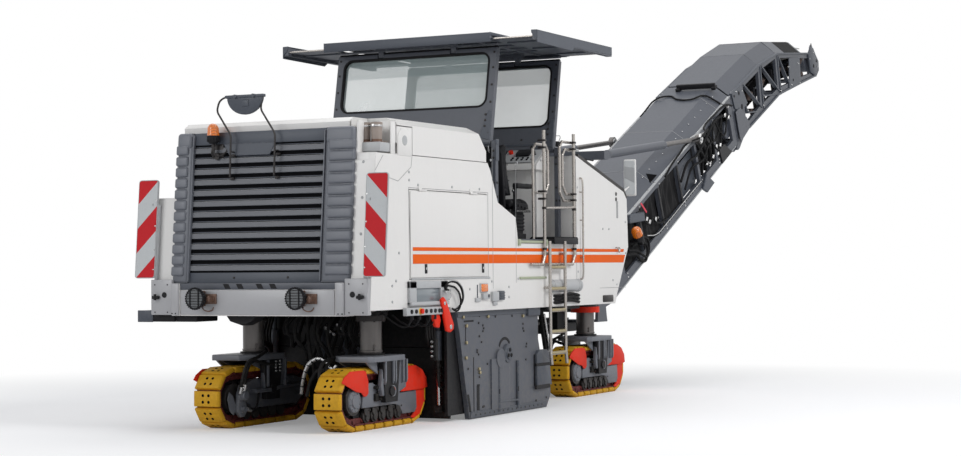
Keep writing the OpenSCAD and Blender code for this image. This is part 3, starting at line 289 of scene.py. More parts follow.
def coat_group():
    """Paint or metal: cloudy shade, rain streaks, dust near the ground, worn edges, fine grain"""
    tree, given, result = new_group(
        "Weathered Coat",
        [
            ("Colour", "Color", (0.8, 0.8, 0.8, 1)), ("Bare Colour", "Color", (0.5, 0.5, 0.5, 1)),
            ("Dust Colour", "Color", (0.3, 0.27, 0.23, 1)), ("Cloud", "Float", 0.05),
            ("Streaks", "Float", 0.04), ("Dust", "Float", 0.3), ("Wear", "Float", 0.3),
            ("Roughness", "Float", 0.4), ("Grain", "Float", 0.1), ("Grain Scale", "Float", 260.0),
        ],
        [("Colour", "Color"), ("Roughness", "Float"), ("Normal", "Vector")],
    )
    own = given.outputs
    cloud = noise(tree, 1.7, 4)
    streak = noise(tree, 3.0, 3, (7, 7, 0.5))
    speck = noise(tree, 28, 4, rough=0.65)
    shade = sum_up(tree, "MULTIPLY_ADD", sum_up(tree, "SUBTRACT", cloud, 0.5), own["Cloud"], 1.0)
    shade = sum_up(tree, "MULTIPLY_ADD", sum_up(tree, "SUBTRACT", streak, 0.5), own["Streaks"], shade)
    colour = blend_colours(tree, 1.0, own["Colour"], make(tree, "CombineColor",
        {0: shade, 1: shade, 2: shade}).outputs[0], "MULTIPLY")
    height = make(tree, "SeparateXYZ", {0: make(tree, "TexCoord").outputs["Object"]}).outputs[2]
    low = ramp(tree, height, 0.0, 1.3, 1.0, 0.08)
    dusty = sum_up(tree, "MULTIPLY", low, ramp(tree, speck, 0.38, 0.72))
    dusty = sum_up(tree, "MULTIPLY", dusty, own["Dust"], clamp=True)
    colour = blend_colours(tree, dusty, colour, own["Dust Colour"])
    round_normal = make(tree, "Bevel", {"Radius": 0.008}, samples=4).outputs[0]
    flat = make(tree, "NewGeometry").outputs["Normal"]
    corner = make(tree, "VectorMath", {0: round_normal, 1: flat}, operation="DOT_PRODUCT").outputs["Value"]
    worn = sum_up(tree, "MULTIPLY", ramp(tree, corner, 0.995, 0.93), ramp(tree, speck, 0.44, 0.62))
    worn = sum_up(tree, "MULTIPLY", worn, own["Wear"], clamp=True)
    colour = blend_colours(tree, worn, colour, own["Bare Colour"])
    rough = sum_up(tree, "MULTIPLY_ADD", sum_up(tree, "SUBTRACT", speck, 0.5), 0.16, own["Roughness"])
    rough = sum_up(tree, "MULTIPLY_ADD", dusty, 0.35, rough, clamp=True)
    fine = make(tree, "TexNoise", {"Vector": make(tree, "TexCoord").outputs["Object"],
        "Scale": own["Grain Scale"], "Detail": 2.0}).outputs[0]
    normal = make(tree, "Bump", {"Strength": own["Grain"], "Distance": 0.002, "Height": fine,
        "Normal": round_normal}).outputs[0]
    for label, source in (("Colour", colour), ("Roughness", rough), ("Normal", normal)):
        tree.links.new(source, result.inputs[label])
    return tree


def stripe_group():
    """Slanted bands of a warning sign, by height and distance from the middle"""
    tree, given, result = new_group(
        "Slanted Bands", [("Period", "Float", 0.456), ("Start", "Float", 2.7)], [("Band", "Float")]
    )
    place = make(tree, "SeparateXYZ", {0: make(tree, "TexCoord").outputs["Object"]}).outputs
    run = sum_up(tree, "ADD", place[2], sum_up(tree, "ABSOLUTE", place[1]))
    run = sum_up(tree, "DIVIDE", sum_up(tree, "SUBTRACT", run, given.outputs["Start"]),
        given.outputs["Period"])
    band = sum_up(tree, "GREATER_THAN", sum_up(tree, "FRACT", run), 0.5)
    tree.links.new(band, result.inputs["Band"])
    return tree


def finish(name, colour, rough=0.4, metal=0.0, cloud=0.05, streaks=0.04, dust=0.3, wear=0.3,
           grain=0.1, grain_scale=260.0, bare=(0.45, 0.45, 0.46), dirt=(0.3, 0.27, 0.23), coat=0.0,
           specular=0.5):
    """A material with a weathered coat"""
    look = bpy.data.materials.new(name)
    look.use_nodes = True
    tree = look.node_tree
    shader = tree.nodes["Principled BSDF"]
    coated = make(tree, "Group", node_tree=bpy.data.node_groups["Weathered Coat"])
    values = {
        "Colour": (*colour, 1), "Bare Colour": (*bare, 1), "Dust Colour": (*dirt, 1), "Cloud": cloud,
        "Streaks": streaks, "Dust": dust, "Wear": wear, "Roughness": rough, "Grain": grain,
        "Grain Scale": grain_scale,
    }
    for label, value in values.items():
        coated.inputs[label].default_value = value
    tree.links.new(coated.outputs["Colour"], shader.inputs["Base Color"])
    tree.links.new(coated.outputs["Roughness"], shader.inputs["Roughness"])
    tree.links.new(coated.outputs["Normal"], shader.inputs["Normal"])
    shader.inputs["Metallic"].default_value = metal
    shader.inputs["Coat Weight"].default_value = coat
    shader.inputs["Coat Roughness"].default_value = 0.15
    shader.inputs["Specular IOR Level"].default_value = specular
    return look


def sign_finish():
    """Red and silver bands under a clear film"""
    look = finish("Sign Sheet", (0.62, 0.64, 0.65), 0.5, dust=0.05, wear=0.0, cloud=0.03, specular=0.2)
    tree = look.node_tree
    shader, coated = tree.nodes["Principled BSDF"], tree.nodes["Group"]
    band = make(tree, "Group", node_tree=bpy.data.node_groups["Slanted Bands"]).outputs[0]
    weave = make(tree, "TexVoronoi", {"Vector": make(tree, "TexCoord").outputs["Object"], "Scale": 190.0},
        feature="DISTANCE_TO_EDGE").outputs["Distance"]
    cells = ramp(tree, weave, 0.0, 0.12, 0.86, 1.0)
    colour = blend_colours(tree, band, coated.outputs["Colour"], (0.62, 0.012, 0.02, 1))
    colour = blend_colours(tree, 1.0, colour, make(tree, "CombineColor",
        {0: cells, 1: cells, 2: cells}).outputs[0], "MULTIPLY")
    tree.links.new(colour, shader.inputs["Base Color"])
    return look


def glass_finish():
    """Pale green glass with a darker band along its upper edge"""
    look = bpy.data.materials.new("Window Glass")
    look.use_nodes = True
    tree = look.node_tree
    shader = tree.nodes["Principled BSDF"]
    height = make(tree, "SeparateXYZ", {0: make(tree, "TexCoord").outputs["Object"]}).outputs[2]
    film = ramp(tree, height, 3.42, 3.43)
    haze = noise(tree, 2.2, 3)
    tint = blend_colours(tree, film, (0.66, 0.74, 0.73, 1), (0.45, 0.54, 0.54, 1))
    tree.links.new(tint, shader.inputs["Base Color"])
    cover = sum_up(tree, "MULTIPLY_ADD", haze, 0.1, ramp(tree, film, 0.0, 1.0, 0.3, 0.42))
    tree.links.new(cover, shader.inputs["Alpha"])
    tree.links.new(ramp(tree, haze, 0.3, 0.7, 0.03, 0.09), shader.inputs["Roughness"])
    return look


def lens_finish(name, colour, glow):
    """A clear coloured lens with moulded ribs and a faint light of its own"""
    look = bpy.data.materials.new(name)
    look.use_nodes = True
    tree = look.node_tree
    shader = tree.nodes["Principled BSDF"]
    wave = make(tree, "TexWave", {"Vector": make(tree, "TexCoord").outputs["Object"], "Scale": 22.0,
        "Distortion": 0.4}, bands_direction="DIAGONAL").outputs[1]
    tone = blend_colours(tree, wave, (*colour, 1), (*[c * 0.55 for c in colour], 1))
    tree.links.new(tone, shader.inputs["Base Color"])
    tree.links.new(ramp(tree, wave, 0, 1, 0.08, 0.2), shader.inputs["Roughness"])
    tree.links.new(make(tree, "Bump", {"Strength": 0.3, "Distance": 0.004, "Height": wave}).outputs[0],
        shader.inputs["Normal"])
    shader.inputs["Coat Weight"].default_value = 0.6
    tree.links.new(tone, shader.inputs["Emission Color"])
    shader.inputs["Emission Strength"].default_value = glow
    return look


def looks():
    """Every finish: colour, roughness, metal, cloud, streaks, dust, wear, and what else it has"""
    paint = bpy.context.scene.planer_paint
    grey, white = tuple(paint.grey), tuple(paint.white)
    return {
        "white_paint": finish("White Paint", white, 0.32, 0, 0.03, 0.03, 0.22, 0.15, coat=0.25, grain=0.04,
            bare=(0.5, 0.5, 0.5)),
        "grey_paint": finish("Grey Paint", grey, 0.42, 0, 0.14, 0.1, 0.3, 0.5, bare=(0.25, 0.26, 0.28)),
        "black_paint": finish("Black Paint", (0.01, 0.01, 0.012), 0.45, 0, 0.3, 0.2, 0.08, 0.3,
            bare=(0.06, 0.06, 0.065), specular=0.18),
        "tube_steel": finish("Tube Steel", (0.45, 0.42, 0.39), 0.28, 0.9, 0.1, 0.05, 0.05, 0, grain=0.05,
            grain_scale=420.0),
        "rod_chrome": finish("Rod Chrome", (0.62, 0.62, 0.63), 0.14, 1, 0.1, 0.04, 0.1, 0, grain=0.03),
        "drum_iron": finish("Drum Iron", (0.1, 0.085, 0.075), 0.6, 0.3, 0.5, 0.04, 0.4, 0.5, grain=0.5,
            grain_scale=60.0, specular=0.2),
        "rust_steel": finish("Rust Steel", (0.15, 0.085, 0.06), 0.55, 0.35, 0.9, 0.6, 0.5, 0.6, grain=0.5,
            grain_scale=70.0, bare=(0.33, 0.26, 0.22), dirt=(0.22, 0.09, 0.04)),
        "belt_rubber": finish("Belt Rubber", (0.012, 0.012, 0.013), 0.7, 0, 0.4, 0.04, 0.15, 0.2, grain=0.5,
            grain_scale=150.0, bare=(0.03, 0.03, 0.03), specular=0.15),
        "track_pads": finish("Track Pads", tuple(paint.pads), 0.5, 0, 0.3, 0.1, 0.3, 0.5, grain=0.35,
            grain_scale=90.0, bare=(0.3, 0.15, 0.02), dirt=(0.25, 0.1, 0.02), specular=0.2),
        "seat_cover": finish("Seat Cover", (0.014, 0.014, 0.016), 0.62, 0, 0.4, 0.04, 0.03, 0, grain=0.7,
            grain_scale=420.0, specular=0.2),
        "sign_sheet": sign_finish(),
        "amber_lens": lens_finish("Amber Lens", (0.85, 0.2, 0.012), 0.15),
        "black_plastic": finish("Black Plastic", (0.012, 0.012, 0.014), 0.5, 0, 0.2, 0.04, 0.06, 0.1,
            grain=0.4, grain_scale=300.0, bare=(0.05, 0.05, 0.05), specular=0.18),
        "window_glass": glass_finish(),
        "red_paint": finish("Red Paint", tuple(paint.red), 0.5, 0, 0.15, 0.04, 0.12, 0.3,
            bare=(0.3, 0.05, 0.03), specular=0.2),
        # Chain: red paint with dirt, darkened further as painted shade in the gaps between the shoes
        "chain_red_and_gap_shade": finish("Chain Red And Gap Shade", (0.13, 0.012, 0.01), 0.55, 0, 0.6, 0.04, 0.6, 0.6,
            bare=(0.05, 0.02, 0.02), dirt=(0.05, 0.02, 0.015)),
        "orange_film": finish("Orange Film", tuple(paint.stripe), 0.5, 0, 0.04, 0.04, 0.08, 0, grain=0.02,
            specular=0.15),
        "pale_grey": finish("Pale Grey Paint", (0.46, 0.47, 0.48), 0.4, 0, 0.08, 0.04, 0.3, 0.3),
        "silver": finish("Bright Fittings", (0.55, 0.55, 0.55), 0.25, 1, 0.2, 0.04, 0.2, 0),
        # Mirror faces: diffuse pale grey, a painted reflection of the surround
        "mirror_painted_reflection": finish("Mirror Painted Reflection", (0.66, 0.68, 0.69), 0.3, 0, 0.05, 0.04, 0.1, 0, grain=0.0),
        "mirror_face": finish("Mirror Face", (0.75, 0.77, 0.78), 0.04, 1, 0.02, 0.04, 0.05, 0, grain=0.0),
        "blue_grey": finish("Blue Grey Paint", (0.07, 0.08, 0.1), 0.42, 0, 0.16, 0.1, 0.2, 0.4,
            bare=(0.2, 0.21, 0.23), specular=0.35),
        "dark_steel": finish("Dark Steel", (0.035, 0.032, 0.032), 0.4, 0.3, 0.6, 0.5, 0.15, 0.3,
            bare=(0.12, 0.12, 0.12), specular=0.25),
        "grille_grey": finish("Slat Grey", (0.105, 0.112, 0.13), 0.42, 0, 0.1, 0.04, 0.2, 0.3),
        "post_grey": finish("Post Grey", (0.15, 0.16, 0.185), 0.42, 0, 0.1, 0.04, 0.2, 0.3),
        # Bumper: light grey paint, its colour lowered further as painted shade of the rear face
        "bumper_paint_and_shade": finish("Bumper Paint And Shade", (0.42, 0.42, 0.435), 0.36, 0, 0.05, 0.04, 0.3, 0.2, coat=0.2,
            grain=0.04),
        "lamp_glass": finish("Lamp Glass", (0.1, 0.11, 0.12), 0.06, 0, 0.4, 0.04, 0.3, 0, coat=1.0,
            grain=0.0),
        "heat_steel": finish("Heated Steel", (0.33, 0.275, 0.24), 0.4, 0, 0.4, 0.5, 0.2, 0.3,
            bare=(0.2, 0.12, 0.09)),
        "column_steel": finish("Column Steel", (0.14, 0.13, 0.125), 0.32, 0.5, 0.3, 0.5, 0.2, 0, grain=0.05),
        "bore_shade": finish("Bore Shade", (0.004, 0.004, 0.005), 0.8, 0, 0.3, 0.04, 0, 0, specular=0.05),
        "joint_shade": finish("Joint Shade", (0.36, 0.36, 0.365), 0.6, 0, 0.3, 0.04, 0.2, 0),
        "tray_grey": finish("Tray Grey", (0.2, 0.23, 0.25), 0.16, 0, 0.3, 0.04, 0.2, 0.1, coat=0.5),
        "stop_yellow": finish("Stop Yellow", (0.8, 0.55, 0.04), 0.4, 0, 0.05, 0.04, 0.2, 0),
        "step_green": finish("Step Green", (0.4, 0.44, 0.31), 0.5, 0, 0.2, 0.04, 0.2, 0.3),
        "strap_red": finish("Strap Red", (0.8, 0.08, 0.12), 0.7, 0, 0.1, 0.04, 0.1, 0),
        "old_brass": finish("Worn Brass", (0.42, 0.36, 0.22), 0.4, 0.9, 0.4, 0.04, 0.4, 0),
        "brown_roller": finish("Roller Brown", (0.09, 0.06, 0.05), 0.5, 0.3, 0.6, 0.04, 0.5, 0.3),
    }


LOOKS = {}


class PlanerPaint(bpy.types.PropertyGroup):
    """Colours of the machine"""

    white: bpy.props.FloatVectorProperty(
        name="White", description="Paint of the side panels and the hood", subtype="COLOR",
        default=(0.8, 0.785, 0.765), min=0, max=1)
    grey: bpy.props.FloatVectorProperty(
        name="Grey", description="Paint of the grille, canopy and conveyor", subtype="COLOR",
        default=(0.075, 0.083, 0.103), min=0, max=1)
    red: bpy.props.FloatVectorProperty(
        name="Red", description="Paint of the track guards and levers", subtype="COLOR",
        default=(0.78, 0.028, 0.008), min=0, max=1)
    stripe: bpy.props.FloatVectorProperty(
        name="Stripe", description="Film of the stripes along the sides", subtype="COLOR",
        default=(0.84, 0.12, 0.003), min=0, max=1)
    pads: bpy.props.FloatVectorProperty(
        name="Pads", description="Paint of the track shoes", subtype="COLOR",
        default=(0.7, 0.38, 0.02), min=0, max=1)


class PlanerSizes(bpy.types.PropertyGroup):
    """Sizes of the added detail"""

    shoe_count: bpy.props.IntProperty(
        name="Track Shoes", description="Shoes on one track", default=22, min=18, max=36)
    rib_count: bpy.props.IntProperty(
        name="Post Ribs", description="Ribs on each post of the grille", default=12, min=6, max=16)
    stripe_low: bpy.props.FloatProperty(
        name="Stripe Height", description="Lower edge of the thick stripe", default=1.495, min=1.4,
        max=1.7, subtype="DISTANCE", unit="LENGTH")
    key_light: bpy.props.FloatProperty(
        name="Key Light", description="Power of the main lamp", default=1300, min=0, unit="POWER")


class PLANER_OT_stage(bpy.types.Operator):
    """Camera, floor, lamps and a white surround"""

    bl_idname = "planer.stage"
    bl_label = "Stage"

    def execute(self, context):
        scene = context.scene
        yaw, pitch, roll = (math.radians(a) for a in (YAW, PITCH, ROLL))
        ahead = Vector((math.cos(yaw) * math.cos(pitch), math.sin(yaw) * math.cos(pitch), math.sin(pitch)))
        right = Vector((math.sin(yaw), -math.cos(yaw), 0))
        up = right.cross(ahead)
        turn = Matrix((
            right * math.cos(roll) + up * math.sin(roll),
            up * math.cos(roll) - right * math.sin(roll),
            -ahead,
        )).transposed().to_4x4()
        lens = bpy.data.cameras.new("Camera")
        lens.sensor_fit, lens.sensor_width, lens.lens = "HORIZONTAL", 36, LENS
        lens.clip_end = 300
        camera = bpy.data.objects.new("Camera", lens)
        camera.matrix_world = Matrix.Translation(CAMERA) @ turn
        scene.collection.objects.link(camera)
        scene.camera = camera

        bm = bmesh.new()
        bmesh.ops.create_circle(bm, cap_ends=True, segments=96, radius=60)
        mesh = bpy.data.meshes.new("floor")
        bm.to_mesh(mesh)
        bm.free()
        floor = bpy.data.objects.new("floor", mesh)
        scene.collection.objects.link(floor)
        pale = bpy.data.materials.new("Pale Floor")
        pale.use_nodes = True
        tree = pale.node_tree
        shader = tree.nodes["Principled BSDF"]
        shader.inputs["Base Color"].default_value = (0.82, 0.82, 0.83, 1)
        shader.inputs["Roughness"].default_value = 0.9
        shader.inputs["Specular IOR Level"].default_value = 0.1
        sight = make(tree, "LightPath").outputs["Is Camera Ray"]
        place = make(tree, "TexCoord").outputs["Object"]
        away = make(tree, "VectorMath", {0: place, 1: (REAR + 2.3, 0, 0)}, operation="DISTANCE")
        far = ramp(tree, away.outputs["Value"], 4.5, 9.5)
        white = make(tree, "Emission", {"Color": (1, 1, 1, 1), "Strength": 1.0}).outputs[0]
        lift = make(tree, "Emission", {"Color": (1, 1, 1, 1),
            "Strength": sum_up(tree, "MULTIPLY", sight, 0.22)}).outputs[0]
        lit = make(tree, "AddShader", {0: shader.outputs[0], 1: lift}).outputs[0]
        amount = sum_up(tree, "MULTIPLY", sight, far)
        tree.links.new(make(tree, "MixShader", {0: amount, 1: lit, 2: white}).outputs[0],
            tree.nodes["Material Output"].inputs[0])
        mesh.materials.append(pale)

        world = bpy.data.worlds.new("Surround")
        scene.world = world
        world.use_nodes = True
        tree = world.node_tree
        path = make(tree, "LightPath").outputs
        seen = sum_up(tree, "MAXIMUM", path["Is Camera Ray"],
            sum_up(tree, "MAXIMUM", path["Is Glossy Ray"], path["Is Transmission Ray"]))
        soft = make(tree, "Background", {"Color": (0.93, 0.96, 1, 1), "Strength": 0.37}).outputs[0]
        white = make(tree, "Background", {"Color": (1, 1, 1, 1), "Strength": 1.0}).outputs[0]
        tree.links.new(make(tree, "MixShader", {0: seen, 1: soft, 2: white}).outputs[0],
            tree.nodes["World Output"].inputs[0])

        power = scene.planer_sizes.key_light
        for name, spot, aim, size, share in (
            ("Key Lamp", (-7, -15, 11), (-2, 0, 1.5), 7, 1.0),
            ("Fill Lamp", (-21, 6, 7), (-6, 0, 1.5), 8, 0.45),
            ("Top Lamp", (-1, 1, 14), (-1, 0, 0), 12, 0.5),
        ):
            lamp = bpy.data.lights.new(name, "AREA")
            lamp.shape, lamp.size, lamp.energy = "DISK", size, power * share
            held = bpy.data.objects.new(name, lamp)
            held.matrix_world = Matrix.Translation(spot) @ (Vector(spot) - Vector(aim)).to_track_quat("Z",
                "Y").to_matrix().to_4x4()
            scene.collection.objects.link(held)
        scene.view_settings.view_transform = "Standard"
        return {"FINISHED"}


class PLANER_OT_finishes(bpy.types.Operator):
    """The finish of every CAD node"""

    bl_idname = "planer.finishes"
    bl_label = "Finishes"

    def execute(self, context):
        coat_group()
        stripe_group()
        LOOKS.update(looks())
        slots = {part["node"]: part["material_slot"] for part in frame["record"]["subparts"]}
        special = {"engine_block": "black_paint", "milling_drum": "drum_iron",
            "control_consoles": "white_paint", "lift_rods": "column_steel"}
        for node, solid in frame["nodes"].items():
            look = LOOKS[special.get(node, slots[node])]
            if not solid.material_slots:
                solid.data.materials.append(look)
            for slot in solid.material_slots:
                slot.material = look
        return {"FINISHED"}


class PLANER_OT_grille(bpy.types.Operator):
    """Ribbed posts, slats, bands and cooler screen of the rear face; the screen is a near-black sheet of
    painted shade behind the slats, and pale strips on the slats' top edges are painted highlights
    """

    bl_idname = "planer.grille"
    bl_label = "Grille"

    def execute(self, context):
        tall = 1.3704
        count = context.scene.planer_sizes.rib_count
        bm = bmesh.new()
        pitch = (tall - 0.16) / count
        for inner, outer in ((0.772, 0.936), (-0.655, -0.945)):
            y = sorted((inner, outer))
            block(bm, (-0.026, 0.03), y, (0.0, tall - 0.012), 0.022, 3)
            for i in range(count):
                z = 0.062 + i * pitch
                wide = sorted((inner + math.copysign(0.036, inner), outer + math.copysign(0.006, inner)))
                block(bm, (-0.046, 0.028), wide, (z, z + pitch * 0.86), 0.017, 4)
            # Rounded cap over the post, and a thin return edge beside the slats
            block(bm, (-0.046, 0.03), y, (tall - 0.14, tall + 0.004), 0.034, 5)
            edge = inner - math.copysign(0.012, inner)
            block(bm, (-0.034, 0.0), sorted((edge - 0.006, edge + 0.006)), (0.01, tall - 0.02), 0.004)
        piece(bm, "grille_posts", "post_grey", LEAN)

        bm = bmesh.new()
        for i in range(12):
            z = 0.11 + i * 0.0975
            outline(bm, "y", [(-0.012, z), (0.003, z - 0.002), (0.006, z + 0.042), (-0.008, z + 0.044)],
                -0.655, 0.768)
        piece(bm, "grille_slats", "grille_grey", LEAN)

        # Top band with its middle plate, bottom band
        bm = bmesh.new()
        block(bm, (-0.01, 0.004), (-0.655, 0.766), (tall - 0.112, tall), 0.006)
        outline(bm, "x", [(-0.12, 1.262), (-0.06, 1.15), (0.37, 1.15), (0.44, 1.262)], -0.016, 0.0, 0.004)
        block(bm, (-0.008, 0.004), (-0.655, 0.766), (-0.004, 0.092), 0.004)
        piece(bm, "grille_bands", "blue_grey", LEAN)

        # Cooler screen: a near-black sheet behind the slats, painted shade in the gaps
        bm = bmesh.new()
        block(bm, (0.004, 0.008), (-0.66, 0.768), (0.05, tall - 0.08))
        piece(bm, "cooler_screen_shade", "bore_shade", LEAN)
        # Pale strips along the top edge of each slat: painted highlights
        bm = bmesh.new()
        for i in range(12):
            z = 0.153 + i * 0.0975
            block(bm, (-0.0095, 0.003), (-0.655, 0.768), (z, z + 0.003))
        piece(bm, "slat_edge_highlights", "pale_grey", LEAN)

        bm = bmesh.new()
        for y in (0.27, -0.3):
            bolt(bm, (-0.009, y, 0.045), (-1, 0, 0), 0.008, 0.006)
        for y in (-0.155, 0.325):
            for z in (0.94, 1.15):
                block(bm, (-0.03, 0.0), (y - 0.018, y + 0.018), (z - 0.012, z + 0.012), 0.004)
                bolt(bm, (-0.03, y, z), (-1, 0, 0), 0.009, 0.007)
        piece(bm, "grille_bolts", "dark_steel", LEAN)
        return {"FINISHED"}


class PLANER_OT_rear_fittings(bpy.types.Operator):
    """Bumper trim, lamps, rear mirror, beacon and the warning signs' faces"""

    bl_idname = "planer.rear_fittings"
    bl_label = "Rear Fittings"

    def execute(self, context):
        # Bumper skin: light grey paint, darkened as painted shade of the rear face
        bm = bmesh.new()
        block(bm, (-0.93, -0.918), (-0.815, 0.815), (1.052, 1.274), 0.005)
        for side in (-1, 1):
            y = sorted((side * 0.828, side * 0.912))
            block(bm, (-0.944, -0.78), y, (1.046, 1.338), 0.01, 3)
            y = sorted((side * 0.914, side * 1.146))
            block(bm, (-0.926, -0.86), y, (1.05, 1.372), 0.008, 3)
        piece(bm, "bumper_skin", "bumper_paint_and_shade")

        bm = bmesh.new()
        block(bm, (-0.9235, -0.918), (-0.824, 0.824), (1.278, 1.337), 0.002)
        piece(bm, "bumper_band", "grey_paint")
        bm = bmesh.new()
        # Slanted slots: flat black shapes, painted shade inside the slot openings
        for y in (0.3, 0.16, -0.05, -0.19):
            outline(bm, "x", [(y - 0.03, 1.286), (y + 0.03, 1.286), (y + 0.055, 1.33), (y - 0.005, 1.33)],
                -0.9245, -0.923)
        for side in (-1, 1):
            for y in (0.85, 0.89):
                block(bm, (-0.9445, -0.94), sorted((side * y, side * (y + 0.018))), (1.058, 1.07), 0.002)
            for y, z, r in ((0.995, 1.232, 0.026), (0.96, 1.325, 0.006), (1.1, 1.325, 0.006),
                (0.96, 1.075, 0.006), (1.1, 1.075, 0.006)):
                rod(bm, (-0.927, side * y, z), (-0.93, side * y, z), r, sides=16)
            block(bm, (-0.96, -0.925), sorted((side * 1.045, side * 1.115)), (1.195, 1.225), 0.008)
            rod(bm, (-0.955, side * 1.08, 1.185), (-0.955, side * 1.08, 1.24), 0.012, sides=10)
        piece(bm, "bumper_marks_and_slot_shade", "black_plastic")

        # Lamps: housing, rim, guard and bracket
        housing, glass, hold = bmesh.new(), bmesh.new(), bmesh.new()
        for y in (-0.487, 0.571):
            z = 1.2
            rod(housing, (-1.055, y, z), (-0.985, y, z), 0.098, 0.08, 28)
            rod(housing, (-0.985, y, z), (-0.945, y, z), 0.078, 0.045, 28)
            for k in range(28):
                a = k * math.tau / 28
                spot = Vector((-1.055, y + 0.094 * math.sin(a), z + 0.094 * math.cos(a)))
                rod(housing, spot - Vector((0.008, 0, 0)), spot + Vector((0.02, 0, 0)), 0.008, sides=6)
            rod(glass, (-1.06, y, z), (-1.05, y, z), 0.084, 0.088, 28)
            for k in range(-3, 4):
                half = math.sqrt(0.09 ** 2 - (k * 0.024) ** 2)
                block(housing, (-1.0665, -1.0615), (y - half, y + half),
                    (z + k * 0.024 - 0.003, z + k * 0.024 + 0.003))
            for k in (-1, 1):
                block(housing, (-1.069, -1.065), (y + k * 0.045 - 0.004, y + k * 0.045 + 0.004),
                    (z - 0.078, z + 0.078))
            outline(hold, "x", [(y - 0.035, 1.13), (y + 0.03, 1.13), (y + 0.03, 1.27), (y - 0.035, 1.27)],
                -0.962, -0.93, 0.006)
            block(hold, (-1.02, -0.93), (y - 0.128, y - 0.112), (1.165, 1.225), 0.004)
            block(hold, (-0.944, -0.93), (y - 0.155, y - 0.02), (1.15, 1.24), 0.004)
            rod(hold, (-1.0, y - 0.135, 1.195), (-1.0, y - 0.095, 1.195), 0.018, sides=10)
            tube(hold, [(-0.95, y - 0.02, 1.15), (-0.985, y - 0.05, 1.1), (-0.94, y - 0.1, 1.09),
                (-0.929, y - 0.12, 1.12)], 0.006, 6)
        piece(housing, "lamp_housings", "black_plastic", stands_for=("work_lights",))
        piece(glass, "lamp_glasses", "lamp_glass")
        piece(hold, "lamp_brackets", "rust_steel")

        # Half round mirror on two bent rods
        rods, shell = bmesh.new(), bmesh.new()
        for y, bends in ((-0.15, (0.162, 0.145, 0.13, 0.125)), (0.322, (0.162, 0.135, 0.075, -0.01))):
            rise = [(-0.812, y + shift, z) for shift, z in zip(bends, (2.895, 2.985, 3.018, 3.026))]
            tube(rods, [(-0.85, y, 2.29), (-0.828, y, 2.67)] + rise, 0.009, 8, 0.03)
            rod(rods, (-0.835, y, 2.52), (-0.775, y, 2.52), 0.007, sides=8)
        turns = [k * math.pi / 16 for k in range(17)]
        arc = [(0.175 + 0.192 * math.cos(a), 3.012 - 0.16 * math.sin(a)) for a in turns]
        outline(shell, "x", arc, -0.826, -0.792, 0.008, 2)
        block(shell, (-0.834, -0.786), (-0.03, 0.385), (3.004, 3.032), 0.008)
        for y in (0.075, 0.27):
            rod(shell, (-0.846, y, 3.018), (-0.776, y, 3.018), 0.018, sides=14)
        block(shell, (-0.833, -0.824), (0.13, 0.2), (2.925, 2.985), 0.004)
        piece(rods, "mirror_rods", "dark_steel", stands_for=("mirrors",))
        piece(shell, "rear_mirror_shell", "blue_grey")
        # Rear mirror face: pale grey, a painted reflection
        bm = bmesh.new()
        inner = [(0.175 + 0.172 * math.cos(a), 2.998 - 0.138 * math.sin(a)) for a in turns]
        outline(bm, "x", inner, -0.7925, -0.7895)
        # Nose mirrors: a round-cornered plate each, with two silver fields; the pale plates and greyer fields
        # are painted reflections
        for side in (-1, 1):
            low, high = sorted((side * 1.066, side * 1.196))
            outline(bm, "x", rounded((low, 2.262), (high, 2.655), 0.03), 5.046, 5.052)
        piece(bm, "mirror_faces", "mirror_painted_reflection")
        # Greyer field on each nose mirror: painted reflection
        bm = bmesh.new()
        for side in (-1, 1):
            outline(bm, "x", [(side * 1.07, 2.46), (side * 1.192, 2.4), (side * 1.192, 2.57),
                (side * 1.07, 2.59)], 5.0452, 5.047)
        piece(bm, "mirror_reflection_fields", "pale_grey")
        bm = bmesh.new()
        for side in (-1, 1):
            block(bm, (5.05, 5.078), sorted((side * 1.056, side * 1.206)), (2.25, 2.667), 0.03, 4)
            tube(bm, [(4.868, side * 1.12, 2.253), (4.92, side * 1.12, 2.31), (5.07, side * 1.12, 2.36)],
                0.01, 8, 0.03)
            rod(bm, (5.07, side * 1.12, 2.34), (5.07, side * 1.12, 2.58), 0.014, sides=10)
        piece(bm, "nose_mirror_shells", "white_paint")

        # Beacon with its dome, socket and swan-neck
        bm = bmesh.new()
        at = Vector((-0.82, 0.52, 0))
        rod(bm, at + Vector((0, 0, 2.672)), at + Vector((0, 0, 2.735)), 0.056, 0.052, 24)
        ball(bm, at + Vector((0, 0, 2.735)), 0.052, 24)
        piece(bm, "rear_beacon_dome", "amber_lens", stands_for=("beacons",))
        bm = bmesh.new()
        rod(bm, at + Vector((0, 0, 2.612)), at + Vector((0, 0, 2.674)), 0.046, 0.06, 24)
        rod(bm, at + Vector((0, 0, 2.6)), at + Vector((0, 0, 2.626)), 0.036, 0.046, 24)
        for k in range(12):
            a = k * math.tau / 12
            spot = at + Vector((0.053 * math.cos(a), 0.053 * math.sin(a), 2.62))
            rod(bm, spot, spot + Vector((0, 0, 0.045)), 0.005, sides=6)
        piece(bm, "rear_beacon_socket", "black_plastic")
        bm = bmesh.new()
        rod(bm, at + Vector((0, 0, 2.53)), at + Vector((0, 0, 2.602)), 0.016, sides=12)
        tube(bm, [at + Vector((0, 0, 2.56)), at + Vector((0.0, 0.01, 2.51)), at + Vector((0.03, 0, 2.49)),
            at + Vector((0.075, 0, 2.5))], 0.013, 10)
        block(bm, (-0.772, -0.756), (0.44, 0.57), (2.47, 2.6), 0.008)
        tube(bm, [at + Vector((0, -0.01, 2.57)), at + Vector((-0.03, -0.05, 2.49)),
            at + Vector((0.03, -0.1, 2.51)), at + Vector((0.06, -0.14, 2.6))], 0.007, 8)
        rod(bm, (-0.8, 0.5, 2.485), (-0.765, 0.5, 2.485), 0.03, sides=14)
        piece(bm, "rear_beacon_bracket", "dark_steel")

